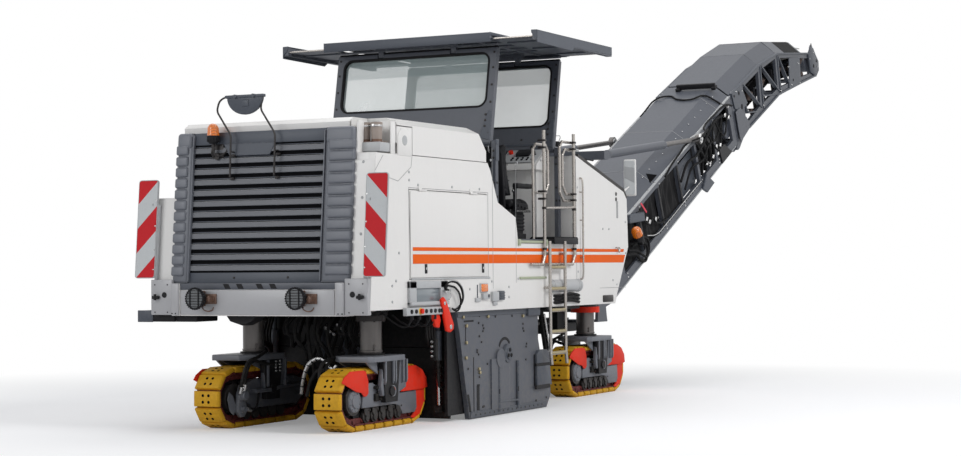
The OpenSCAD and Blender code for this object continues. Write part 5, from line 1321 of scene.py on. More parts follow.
        # Step edges, mats and the grey cylinder under the gangway
        bm = bmesh.new()
        block(bm, (2.09, 2.71), (-0.012, 0.004), (1.698, 1.724), 0.004)
        for x in (2.08, 2.72):
            block(bm, (x - 0.02, x + 0.02), (-0.02, 0.004), (1.67, 1.735), 0.004)
        piece(bm, f"{tag}_step_edge", "step_green", SKIN, mirrored=mirrored)
        bm = bmesh.new()
        rod(bm, (2.8, 0.035, 1.255), (3.58, 0.035, 1.255), 0.075, sides=30)
        for x in (2.84, 2.88, 3.5, 3.54):
            rod(bm, (x - 0.008, 0.035, 1.255), (x + 0.008, 0.035, 1.255), 0.079, sides=30)
        piece(bm, f"{tag}_pressure_cylinder", "pale_grey", SKIN, mirrored=mirrored)
        bm = bmesh.new()
        for k in range(3):
            z = 1.16 - k * 0.035
            tube(bm, [(2.74, 0.14, z + 0.02), (2.95, -0.01, z - 0.01), (3.25, -0.03, z + 0.012),
                (3.55, 0, z - 0.012), (3.72, 0.16, z)], 0.016, 8)
        block(bm, (2.78, 3.62), (0.02, 0.17), (1.005, 1.045), 0.008)
        piece(bm, f"{tag}_gangway_hoses", "belt_rubber", SKIN, mirrored=mirrored)
        # Pale loop of narrow tube ahead of the ladder
        bm = bmesh.new()
        tube(bm, [(3.6, 0.004, 1.32), (3.6, -0.03, 1.32), (3.6, -0.036, 1.4), (3.6, -0.036, 2.32),
            (3.6, -0.03, 2.4), (3.6, 0.004, 2.4)], 0.011, 8, 0.03)
        for z in (1.55, 1.95, 2.25):
            rod(bm, (3.6, 0.002, z), (3.6, -0.036, z), 0.008, sides=8)
        tube(bm, [(4.575, 0.003, 1.66), (4.575, -0.03, 1.66), (4.6, -0.034, 1.6), (4.635, -0.03, 1.66),
            (4.635, 0.003, 1.66)], 0.007, 8, 0.015)
        piece(bm, f"{tag}_tube_loop", "tube_steel", SKIN, mirrored=mirrored)

    def execute(self, context):
        for mirrored in (False, True):
            self.one_side(mirrored)
        return {"FINISHED"}


class PLANER_OT_conveyor(bpy.types.Operator):
    """Braces, plates, curtains, hoses and fittings of the discharge conveyor"""

    bl_idname = "planer.conveyor"
    bl_label = "Discharge Conveyor"

    def bar(self, bm, p, q, y=0.553, wide=0.034, deep=0.03):
        """A square brace on a side frame, between two places of the slope frame"""
        p, q = Vector((p[0], 0, p[1])), Vector((q[0], 0, q[1]))
        across = (q - p).cross(Vector((0, 1, 0))).normalized() * wide / 2
        outline(bm, "y", [(v.x, v.z) for v in (p - across, p + across, q + across, q - across)], y - deep, y,
            0.003)

    def execute(self, context):
        self.lower()
        self.upper()
        self.hoses()
        return {"FINISHED"}

    def lower(self):
        # Edge flanges with bolts, chord rails and notches
        bm = bmesh.new()
        block(bm, (0.9, 5.375), (0.5, 0.558), (0.512, 0.527), 0.003, 1)
        block(bm, (0.36, 5.3), (0.545, 0.562), (-0.2, -0.186), 0.003, 1)
        both_sides(bm)
        piece(bm, "lower_edge_rails", "pale_grey", SLOPE, body="conveyor_lower")
        bm = bmesh.new()
        for i in range(18):
            bolt(bm, (1.05 + i * 0.25, 0.535, 0.527), (0, 0, 1), 0.009, 0.007)
        for u in (0.96, 1.66, 2.4, 3.13, 3.87, 4.6):
            for w in (-0.15, -0.1, 0.47):
                bolt(bm, (u, 0.55, w), (0, 1, 0), 0.01, 0.008)
        for i in range(16):
            bolt(bm, (1.2 + i * 0.26, 0.41, 0.629), (0, 0.66, 0.75), 0.007, 0.005)
        both_sides(bm)
        piece(bm, "lower_bolts", "silver", SLOPE, body="conveyor_lower")
        bm = bmesh.new()
        for i in range(22):
            u = 2.15 + i * 0.085
            block(bm, (u, u + 0.045), (0.5498, 0.5515), (-0.112, -0.09), 0.003, 1)
        outline(bm, "y", [(1.9, -0.02), (2.1, -0.07), (2.1, -0.1), (1.9, -0.06)], 0.5498, 0.5515)
        both_sides(bm)
        outline(bm, "y", [(2.24, 0.0), (2.37, 0.115), (2.5, 0.0)], -0.004, 0.004)
        face = [v for v in bm.verts if abs(v.co.y) < 0.01]
        turned(bm, face, Matrix.Translation((0, -0.5, 0.5475)) @ Matrix.Rotation(math.radians(-48.7), 4, "X"))
        piece(bm, "lower_notches", "bore_shade", SLOPE, body="conveyor_lower")

        # Creased rubber curtains in the rear side bays, grey liners ahead of them
        for name, side in (("right", -1), ("left", 1)):
            bm = bmesh.new()
            for u0, u1, w1 in ((0.905, 1.56, 0.452), (1.642, 2.296, 0.452), (2.378, 3.031, 0.452)):
                got = bmesh.ops.create_grid(bm, x_segments=44, y_segments=16, size=0.5)["verts"]
                for v in got:
                    s, t = v.co.x + 0.5, v.co.y + 0.5
                    wave = 0.016 * math.sin(15 * s + 3 * t + u0) + 0.009 * math.sin(34 * s - 5 * t)
                    sink = 0.5 - 0.018 * math.sin(math.pi * t)
                    v.co = Vector((u0 - 0.01 + (u1 - u0 + 0.02) * s,
                        side * (sink + 0.018 + wave * math.sin(math.pi * min(max(t, 0.02), 0.98))),
                        -0.09 + (w1 + 0.1) * t))
            piece(bm, f"{name}_curtains", "belt_rubber", SLOPE, body="conveyor_lower",
                smooth=60).modifiers.new("wall", "SOLIDIFY").thickness = 0.006
            bm = bmesh.new()
            block(bm, (3.08, 3.8), sorted((side * 0.47, side * 0.478)), (-0.1, 0.36), 0.004)
            outline(bm, "y", [(3.03, 0.44), (3.13, 0.46), (3.16, 0.3), (3.05, 0.05)], side * 0.5, side * 0.54,
                0.006)
            outline(bm, "y", [(3.98, -0.06), (4.22, -0.285), (3.91, -0.3), (3.77, -0.193)], side * 0.551,
                side * 0.585, 0.008)
            outline(bm, "y", [(1.2, 0.452), (1.25, 0.548), (1.68, 0.4), (1.66, 0.285)], side * 0.551,
                side * 0.6, 0.008)
            piece(bm, f"{name}_liners", "blue_grey", SLOPE, body="conveyor_lower")
        bm = bmesh.new()
        outline(bm, "y", [(4.62, 0.03), (4.83, 0.03), (5.1, -0.19), (4.66, -0.19)], 0.5505, 0.572, 0.004)
        block(bm, (3.82, 5.25), (0.43, 0.44), (-0.11, 0.42), 0.002)
        for u in (1.6, 2.33, 3.06):
            block(bm, (u - 0.03, u + 0.03), (0.551, 0.557), (-0.07, 0.44), 0.002)
        both_sides(bm)
        piece(bm, "lower_dark_plates", "black_paint", SLOPE, body="conveyor_lower")

        # Beacon, strap, handle over the cover
        bm = bmesh.new()
        rod(bm, (1.215, -0.665, 0.29), (1.19, -0.665, 0.35), 0.064, 0.062, 24)
        ball(bm, (1.19, -0.665, 0.352), 0.063, 24)
        piece(bm, "nose_beacon_dome", "amber_lens", SLOPE, body="conveyor_lower")
        bm = bmesh.new()
        rod(bm, (1.245, -0.665, 0.215), (1.213, -0.665, 0.295), 0.052, 0.068, 24)
        block(bm, (1.2, 1.3), (-0.68, -0.545), (0.195, 0.225), 0.006)
        block(bm, (1.225, 1.262), (-0.7, -0.63), (0.15, 0.22), 0.006)
        # Handle bar standing on two feet
        block(bm, (5.2, 5.245), (-0.43, 0.135), (0.712, 0.785), 0.008)
        for y in (-0.41, 0.115):
            block(bm, (5.17, 5.275), (y - 0.03, y + 0.03), (0.697, 0.74), 0.006)
        piece(bm, "cover_handle", "black_plastic", SLOPE, body="conveyor_lower")
        bm = bmesh.new()
        outline(bm, "y", [(1.585, 0.545), (1.615, 0.55), (1.735, 0.38), (1.71, 0.365)], -0.612, -0.604, 0.002)
        piece(bm, "red_strap", "strap_red", SLOPE, body="conveyor_lower")
        # Creases pressed into the cover
        bm = bmesh.new()
        for u in (2.28, 3.66, 4.88):
            block(bm, (u - 0.004, u + 0.004), (-0.331, 0.331), (0.6935, 0.6968), 0.001)
            for side in (-1, 1):
                verts = block(bm, (u - 0.004, u + 0.004), (-0.137, 0.137), (-0.0015, 0.0015))
                turned(bm, verts, Matrix.Translation((0, side * 0.4325,
                    0.6055)) @ Matrix.Rotation(-side * math.radians(41.3), 4, "X"))
        piece(bm, "cover_seams", "joint_shade", SLOPE, body="conveyor_lower")
        # Washers between the lift rods' eyes and their lugs
        bm = bmesh.new()
        for y in ((0.575, 0.583), (0.647, 0.655)):
            rod(bm, (3.819, y[0], 0.509), (3.819, y[1], 0.509), 0.058, sides=24)
        rod(bm, (3.819, 0.655, 0.509), (3.819, 0.668, 0.509), 0.03, sides=6)
        both_sides(bm)
        piece(bm, "rod_washers", "silver", SLOPE, body="conveyor_lower")

    def upper(self):
        bm = bmesh.new()
        for p, q, wide in (((5.88, 0.5), (5.98, 0.06), 0.034), ((6.81, 0.46), (6.69, -0.16), 0.034),
            ((7.63, 0.34), (7.53, -0.26), 0.034),
                           ((5.95, 0.51), (6.63, -0.12), 0.026), ((6.86, 0.43), (7.5, -0.2),
                               0.026), ((6.72, 0.02), (7.5, -0.235), 0.022),
                           ((6.00, 0.04), (6.35, -0.08), 0.022), ((7.66, 0.3), (8.00, -0.28), 0.022)):
            self.bar(bm, p, q, 0.562, wide, 0.055)
        # Chord angles along the upper and lower edge
        for p, q in (((5.45, 0.52), (6.75, 0.48)), ((6.75, 0.48), (7.62, 0.35)),
            ((7.62, 0.35), (9.2, -0.205)),
                     ((5.95, -0.165), (7.45, -0.22)), ((7.45, -0.22), (8.6, -0.455)), ((8.6, -0.455),
                         (9.28, -0.6))):
            self.bar(bm, p, q, 0.57, 0.03, 0.05)
        # Solid plates: over the fold, ahead of it, before the head
        outline(bm, "y", [(5.44, 0.536), (5.6, 0.535), (5.87, 0.49), (5.95, 0.33), (6.02, 0.18), (5.7, 0.165),
            (5.48, 0.3)], 0.551, 0.568, 0.004)
        outline(bm, "y", [(8.12, 0.11), (8.59, -0.048), (8.47, -0.43), (7.93, -0.32)], 0.551, 0.566, 0.004)
        outline(bm, "y", [(6.82, 0.115), (7.06, 0.105), (7.33, -0.15)], 0.4, 0.41, 0.003)
        outline(bm, "y", [(9.05, -0.155), (9.19, -0.105), (9.335, -0.165), (9.41, -0.3), (9.505, -0.44),
            (9.46, -0.58), (9.28, -0.622), (9.03, -0.45)], 0.551, 0.572, 0.006, 2)
        both_sides(bm)
        piece(bm, "upper_braces", "blue_grey", SLOPE, body="conveyor_upper")
        bm = bmesh.new()
        outline(bm, "y", [(5.455, 0.26), (5.66, 0.245), (5.93, -0.06), (5.93, -0.16), (5.47, -0.2),
            (5.455, 0.0)], 0.568, 0.58, 0.004)
        # Lifting eye over the head
        outline(bm, "y", [(9.12, -0.14), (9.14, -0.09), (9.19, -0.065), (9.24, -0.085), (9.27, -0.15)], 0.56,
            0.585, 0.006)
        both_sides(bm)
        piece(bm, "upper_side_plates", "grey_paint", SLOPE, body="conveyor_upper")
        bm = bmesh.new()
        for u, w, r, y in ((5.72, 0.44, 0.028, 0.569), (5.76, 0.225, 0.036, 0.569), (5.52, 0.47, 0.02, 0.569),
            (9.195, -0.06, 0.022, 0.5865),
                           (9.4, -0.4, 0.024, 0.5725), (9.22, -0.42, 0.03, 0.5725), (8.16, -0.26, 0.02,
                               0.567)):
            rod(bm, (u, y - 0.003, w), (u, y + 0.0015, w), r, sides=18)
        both_sides(bm)
        # Rubber flap that closes the cover's open end
        for y, w, tilt, half in ((0.0, 0.0, 0.0, 0.33), (-0.4325, -0.09, 41.3, 0.137),
            (0.4325, -0.09, -41.3, 0.137)):
            verts = block(bm, (0.0, 0.745), (-half, half), (0.000, 0.006), 0.001, 1)
            turned(bm, verts, Matrix.Translation((0, y, w)) @ Matrix.Rotation(math.radians(tilt), 4, "X"))
            turned(bm, verts, Matrix.Translation((8.095, 0, 0.379)) @ Matrix.Rotation(math.radians(19.3), 4,
                "Y"))
        piece(bm, "upper_dark_parts", "belt_rubber", SLOPE, body="conveyor_upper")
        bm = bmesh.new()
        for u, w in ((5.98, 0.08), (6.66, -0.1), (7.52, -0.2), (8.05, -0.3), (8.45, -0.42), (9.08, -0.25),
            (9.3, -0.23), (9.42, -0.5), (5.62, 0.5), (5.86, 0.42), (8.02, 0.0), (8.5, -0.12)):
            bolt(bm, (u, 0.568, w), (0, 1, 0), 0.011, 0.009)
        for i in range(9):
            bolt(bm, (5.52 + i * 0.09, 0.53, 0.529 - i * 0.004), (0, 0, 1), 0.008, 0.006)
        both_sides(bm)
        rod(bm, (8.72, -0.3, 0.1), (9.45, -0.3, -0.2), 0.01, sides=8)
        piece(bm, "upper_bolts", "silver", SLOPE, body="conveyor_upper")
        # Trough rollers on slanted arms behind the braces
        bm = bmesh.new()
        for u, w in ((6.35, 0.02), (6.95, 0.00), (7.75, -0.1), (8.35, -0.27), (8.85, -0.33)):
            rod(bm, (u, 0.445, w + 0.1), (u + 0.02, 0.495, w + 0.2), 0.05, sides=18)
            rod(bm, (u, 0.47, w - 0.1), (u, 0.49, w - 0.1), 0.05, sides=18)
        rod(bm, (9.24, 0.46, -0.36), (9.24, 0.548, -0.36), 0.085, sides=24)
        both_sides(bm)
        piece(bm, "upper_trough_rollers", "brown_roller", SLOPE, body="conveyor_upper")
        bm = bmesh.new()
        for u, w, wide in ((5.42, 0.05, 0.3), (6.52, -0.02, 0.1), (7.4, -0.07, 0.1)):
            outline(bm, "y", [(u + 0.03, w - 0.1), (u + 0.03 + wide, w - 0.13), (u + wide, w + 0.22),
                (u + 0.05, w + 0.24)], 0.445, 0.49, 0.006)
        both_sides(bm)
        piece(bm, "upper_brackets", "black_paint", SLOPE, body="conveyor_upper")

    def hoses(self):
        black, bright = bmesh.new(), bmesh.new()
        for r, points in (
            # Hose along the upper flange, sagging, then over to the fold
            (0.014, [(2.55, -0.585, 0.5), (2.75, -0.6, 0.56), (3.1, -0.6, 0.585), (3.45, -0.605, 0.6),
                (3.62, -0.71, 0.6), (3.85, -0.71, 0.59), (4.05, -0.62, 0.575), (4.6, -0.595, 0.555),
                (5.05, -0.6, 0.52), (5.28, -0.6, 0.42)]),
            (0.017, [(3.1, -0.56, 0.2), (3.4, -0.565, 0.33), (3.75, -0.57, 0.3), (4.2, -0.575, 0.38),
                (4.6, -0.58, 0.46), (4.95, -0.58, 0.4), (5.2, -0.58, 0.3)]),
            (0.014, [(3.2, -0.555, 0.05), (3.55, -0.56, 0.21), (3.95, -0.575, 0.16), (4.25, -0.58, 0.26),
                (4.55, -0.575, 0.22), (4.8, -0.575, 0.34), (4.9, -0.575, 0.44)]),
            (0.013, [(3.85, -0.555, 0.44), (3.98, -0.58, 0.2), (4.12, -0.59, 0.02), (4.34, -0.585, 0.05),
                (4.42, -0.58, 0.3), (4.55, -0.57, 0.46)]),
            (0.013, [(4.25, -0.56, 0.45), (4.4, -0.59, 0.18), (4.55, -0.59, 0.07), (4.75, -0.58, 0.2),
                (4.88, -0.57, 0.4)]),
            (0.011, [(4.62, -0.56, 0.46), (4.72, -0.585, 0.25), (4.86, -0.585, 0.15), (5.02, -0.575, 0.26),
                (5.14, -0.565, 0.46)]),
            # Cable draped over the cover near its end
            (0.012, [(4.7, 0.56, 0.5), (4.76, 0.47, 0.59), (4.86, 0.335, 0.712), (4.99, 0.18, 0.709),
                (4.84, 0.0, 0.709), (4.81, -0.2, 0.709), (4.96, -0.345, 0.703), (5.03, -0.46, 0.602),
                (5.06, -0.565, 0.505)]),
            # Low loops at the tail, hanging clear of the chord
            (0.018, [(1.18, -0.575, 0.16), (1.45, -0.585, 0.09), (1.6, -0.585, -0.05), (1.52, -0.58, -0.17),
                (1.37, -0.58, -0.12), (1.24, -0.585, 0.02), (1.02, -0.58, 0.12), (0.92, -0.565, 0.16)]),
            (0.015, [(1.3, -0.575, 0.22), (1.5, -0.59, 0.14), (1.66, -0.59, 0.0), (1.58, -0.585, -0.14),
                (1.4, -0.6, -0.06), (1.26, -0.595, 0.06), (1.05, -0.575, 0.16)]),
            (0.012, [(1.66, -0.565, 0.3), (1.8, -0.58, 0.18), (1.95, -0.58, 0.2), (2.05, -0.565, 0.1),
                (2.2, -0.565, 0.02), (2.42, -0.562, -0.02)]),
        ):
            tube(black, points, r, 8)
        # Crumpled rubber around the bay behind the fold
        for k in range(5):
            tube(black, [(3.82 + 0.16 * k, -0.5, 0.4 - 0.02 * k), (3.88 + 0.16 * k, -0.53, 0.15),
                (3.84 + 0.16 * k, -0.5, -0.08)], 0.022, 8)
        piece(black, "conveyor_hoses", "belt_rubber", SLOPE, body="conveyor_lower")
        tube(bright, [(1.72, -0.56, 0.06), (1.98, -0.566, -0.045), (2.36, -0.564, -0.07),
            (3.3, -0.564, -0.072), (3.78, -0.564, -0.08)], 0.008, 8)
        tube(bright, [(3.4, -0.6, 0.62), (3.6, -0.64, 0.64), (3.78, -0.7, 0.6), (3.9, -0.69, 0.58)], 0.008, 8)
        for u, y, w in ((4.02, -0.585, 0.05), (4.1, -0.59, 0.0), (4.45, -0.59, 0.12), (4.6, -0.59, 0.08),
            (3.62, -0.71, 0.6), (4.95, -0.59, 0.38), (5.08, -0.59, 0.3),
                        (5.12, -0.585, 0.44), (1.8, -0.58, 0.18), (2.02, -0.57, 0.12), (4.28, -0.585,
                            0.04), (1.75, -0.57, 0.24)):
            rod(bright, (u, y, w), (u + 0.045, y, w + 0.03), 0.018, sides=8)
        piece(bright, "conveyor_fittings", "silver", SLOPE, body="conveyor_lower")
        # Hoses and valve blocks round the slewing swivel
        black, bright = bmesh.new(), bmesh.new()
        for k, y in enumerate((-0.22, -0.16, 0.1, 0.17)):
            tube(black, [(5.36, y, 2.52), (5.3 - 0.02 * k, y * 1.4, 2.62), (5.36, y * 2.0, 2.7),
                (5.5, y * 2.2, 2.7)], 0.013, 8)
        block(black, (5.34, 5.46), (-0.1, 0.1), (2.87, 2.93), 0.008)
        piece(black, "swivel_hoses", "belt_rubber", body="slew_bracket")
        for y in (-0.3, -0.2, 0.2, 0.3):
            rod(bright, (5.46, y, 2.801), (5.46, y, 2.835), 0.02, sides=8)
        tube(bright, [(5.4, -0.09, 2.93), (5.4, -0.12, 3.00), (5.4, 0.12, 3.00), (5.4, 0.09, 2.93)], 0.006, 8,
            0.03)
        piece(bright, "swivel_fittings", "silver", body="slew_bracket")


class PLANER_OT_drum_plates(bpy.types.Operator):
    """Side plates beside the drum, with bolts, slots, guides, cap and extension"""

    bl_idname = "planer.drum_plates"
    bl_label = "Drum Side Plates"

    def execute(self, context):
        for name, side in (("right", -1), ("left", 1)):
            body = f"{name}_side_plate"
            put = Matrix.Diagonal((1, side, 1, 1)) @ Matrix.Translation((0, 1.092, 0))
            # Raised guides, door handle edge and the extension box
            bm = bmesh.new()
            for x in (1.695, 1.715, 2.12, 2.14):
                block(bm, (x - 0.007, x + 0.007), (0, 0.02), (0.045, 0.52), 0.003, 1)
            block(bm, (1.72, 2.12), (0, 0.017), (0.118, 0.136), 0.003, 1)
            outline(bm, "y", [(1.09, 0.012), (1.11, 0.075), (2.8, 0.075), (2.82, 0.012)], 0, 0.01, 0.003)
            outline(bm, "y", [(2.545, 0.245), (2.545, 0.56), (2.6, 0.6), (2.68, 0.6), (2.705, 0.545),
                (2.84, 0.5), (2.9, 0.235)], 0, 0.034, 0.006, 2)
            outline(bm, "y", [(0.845, 0.985), (0.825, 1.045), (2.64, 1.045), (2.64, 0.985)], 0, 0.008, 0.003)
            block(bm, (2.36, 2.64), (0, 0.03), (0.96, 1.045), 0.006)
            piece(bm, f"{name}_plate_ribs", "blue_grey", put, body=body)
            bm = bmesh.new()
            cap = (1.905, 0.6)
            rod(bm, (cap[0], 0, cap[1]), (cap[0], 0.024, cap[1]), 0.098, 0.09, 36)
            rod(bm, (cap[0], 0.022, cap[1]), (cap[0], 0.036, cap[1]), 0.062, 0.056, 30)
            piece(bm, f"{name}_bearing_cap", "blue_grey", put, body=body)
            # Dark arch, slots and strip ends
            bm = bmesh.new()
            arch = [(cap[0] - 0.045 + 0.15 * math.cos(a),
                cap[1] + 0.015 + 0.15 * math.sin(a)) for a in (math.radians(40 + 7 * k) for k in range(17))]
            arch += [(cap[0] - 0.045 + 0.13 * math.cos(a),
                cap[1] + 0.012 + 0.125 * math.sin(a)) for a in (math.radians(152 - 7 * k) for k in range(17))]
            outline(bm, "y", arch, 0, 0.004)
            for x, z in (((0.985, 1.185), (0.935, 0.952)), ((1.01, 1.024), (0.735, 0.905)),
                ((1.172, 1.186), (0.035, 0.595)), ((1.245, 1.305), (0.31, 0.33)),
                         ((1.24, 1.298), (0.08, 0.318)), ((2.03, 2.115), (1.01, 1.016)), ((2.528, 2.546),
                             (0.235, 0.56))):
                block(bm, x, (0, 0.0025), z, 0.003, 1)
            for z in ((0.438, 0.47), (0.205, 0.247)):
                block(bm, (2.515, 2.85), (0.02, 0.038), z, 0.004, 1)
            for x in (1.702, 2.127):
                block(bm, (x - 0.012, x + 0.012), (0, 0.022), (0.21, 0.262), 0.003, 1)
            for a in (90, 210, 330):
                spot = (cap[0] + 0.036 * math.cos(math.radians(a)), 0.036,
                    cap[1] + 0.036 * math.sin(math.radians(a)))
                bolt(bm, spot, (0, 1, 0), 0.016, 0.01)
            outline(bm, "y", [(1.035, 0.245), (1.075, 0.245), (1.12, 0.075), (1.08, 0.075)], 0, 0.003)
            piece(bm, f"{name}_plate_slots", "black_plastic", put, body=body)
            # Bolts, the row along the wear strip, and two golden knobs
            bm = bmesh.new()
            for x, z in ((1.309, 0.988), (1.292, 0.919), (1.657, 0.972), (1.385, 0.895), (1.4, 0.866),
                (1.384, 0.838), (1.305, 0.792), (1.351, 0.734),
                         (1.256, 0.661), (1.256, 0.64), (1.286, 0.617), (1.472, 0.517), (1.062,
                             0.489), (2.033, 0.969), (2.283, 0.881), (2.282, 0.837), (2.3, 0.81),
                             (2.364, 0.679),
                         (2.352, 0.65), (2.343, 0.518), (1.297, 0.399), (1.369, 0.107), (1.39, 0.11), (2.575,
                             0.09), (2.824, 0.104)):
                rod(bm, (x, 0, z), (x, 0.007, z), 0.011, sides=10)
            for i in range(16):
                rod(bm, (1.2 + i * 0.1, 0.009, 0.042), (1.2 + i * 0.1, 0.0125, 0.042), 0.01, sides=10)
            piece(bm, f"{name}_plate_bolts", "dark_steel", put, body=body)
            bm = bmesh.new()
            for x, z in ((1.283, 0.477), (1.298, 0.441), (1.01, 0.595), (0.955, 0.985), (1.019, 0.74),
                (1.022, 0.9), (2.268, 0.962), (1.481, 0.977)):
                rod(bm, (x, 0, z), (x, 0.018, z), 0.016, sides=12)
            piece(bm, f"{name}_plate_knobs", "old_brass", put, body=body)
        return {"FINISHED"}


class PLANER_OT_underside(bpy.types.Operator):
    """Cylinders, valve blocks and hoses under the frame, and the struts between the columns"""

    bl_idname = "planer.underside"
    bl_label = "Underside"

    def execute(self, context):
        black, bright, grey = bmesh.new(), bmesh.new(), bmesh.new()
        # Lifting cylinder of the side plate with its bright rod
        rod(grey, (0.79, 0.915, 0.86), (0.785, 0.915, 0.58), 0.04, sides=22)
        rod(grey, (0.79, 0.915, 1.02), (0.79, 0.915, 0.86), 0.022, sides=16)
        rod(bright, (0.785, 0.915, 0.59), (0.805, 0.915, 0.13), 0.02, sides=16)
        rod(black, (0.805, 0.88, 0.125), (0.805, 0.95, 0.125), 0.038, sides=18)
        for k in range(4):
            tube(black, [(0.6 + 0.05 * k, 0.9, 1.0), (0.56 + 0.05 * k, 0.92, 0.8),
                (0.7 + 0.02 * k, 0.92, 0.66 - 0.01 * k), (0.815, 0.94, 0.52 - 0.07 * k), (0.85, 0.92, 0.6)],
                0.013, 8)
        block(black, (0.585, 0.635), (0.94, 1.0), (0.59, 0.79), 0.006)
        for k in range(4):
            rod(bright, (0.583, 0.97, 0.63 + 0.045 * k), (0.55, 0.97, 0.63 + 0.045 * k), 0.012, sides=8)
        outline(black, "y", [(2.96, 1.03), (3.03, 1.03), (3.215, 0.43), (3.16, 0.41), (3.1, 0.6)], 0.93, 0.97,
            0.006)
        rod(bright, (3.02, 0.985, 0.96), (3.14, 0.985, 0.6), 0.014, sides=12)
        for bm in (black, bright, grey):
            both_sides(bm)
        # Hoses that hang from the frame to clips beside the tracks
        for k in range(9):
            y = -0.36 + 0.085 * k
            low = 0.5 + 0.07 * math.sin(2.3 * k) if abs(y) < 0.2 else 0.72
            tube(black, [(0.1 + 0.05 * math.sin(k), y, 1.05),
                (0.04 + 0.06 * math.sin(1.7 * k), y + 0.03, 0.86), (0.1, y - 0.02, low + 0.12),
                (0.22, y + 0.02, low),
                         (0.4, y, low + 0.27), (0.52, y, 1.05)], 0.017, 8)
        for k in range(5):
            tube(black, [(0.05 + 0.06 * k, -0.4, 1.0), (-0.02 + 0.05 * k, -0.43, 0.84 - 0.03 * k),
                (0.22, -0.45, 0.74), (0.46, -0.42, 0.8), (0.6, -0.38, 1.0)], 0.014, 8)
        # Armoured loop between the rear tracks
        loop = [(-0.15, 0.02, 0.3), (-0.17, -0.02, 0.46), (-0.18, -0.09, 0.585), (-0.18, -0.19, 0.635),
            (-0.17, -0.27, 0.6), (-0.16, -0.32, 0.545), (-0.14, -0.4, 0.6), (-0.1, -0.46, 0.575)]
        tube(bright, loop, 0.02, 8)
        tube(black, [(-0.12, -0.02, 0.28), (-0.13, -0.1, 0.47), (-0.13, -0.2, 0.53), (-0.12, -0.26, 0.44),
            (-0.12, -0.3, 0.36)], 0.018, 8)
        for k in range(16):
            t = k / 15 * (len(loop) - 1)
            i = min(int(t), len(loop) - 2)
            spot = Vector(loop[i]).lerp(Vector(loop[i + 1]), t - i)
            ahead = (Vector(loop[i + 1]) - Vector(loop[i])).normalized()
            rod(black, spot - ahead * 0.005, spot + ahead * 0.005, 0.0225, sides=10)
        # Blocks and fittings under the rear beam
        for x, y, z in ((0.42, -0.25, 0.99), (0.38, 0.05, 0.98), (0.5, 0.3, 0.99), (0.3, -0.33, 0.94)):
            block(black, (x - 0.09, x + 0.09), (y - 0.08, y + 0.08), (z - 0.07, 1.05), 0.008)
        for k in range(14):
            x, y, z = 0.2 + 0.035 * (k % 5), -0.42 + 0.065 * (k % 7), 0.86 + 0.03 * (k % 4)
            rod(bright, (x, y, z), (x - 0.045, y - 0.01, z - 0.02), 0.017, sides=8)
        # Slanted struts from the frame down to the cross beam
        for x, y, lean in ((0.5, 0.24, 0.22), (0.58, 0.03, 0.2), (0.6, -0.12, 0.16)):
            outline(grey, "y", [(x - 0.1, 1.08), (x + 0.02, 1.08), (x + lean + 0.05, 0.46),
                (x + lean - 0.02, 0.46)], y - 0.02, y + 0.02, 0.004)
        piece(black, "frame_hoses", "belt_rubber")
        piece(bright, "frame_fittings", "silver")
        piece(grey, "frame_struts", "blue_grey")
        return {"FINISHED"}


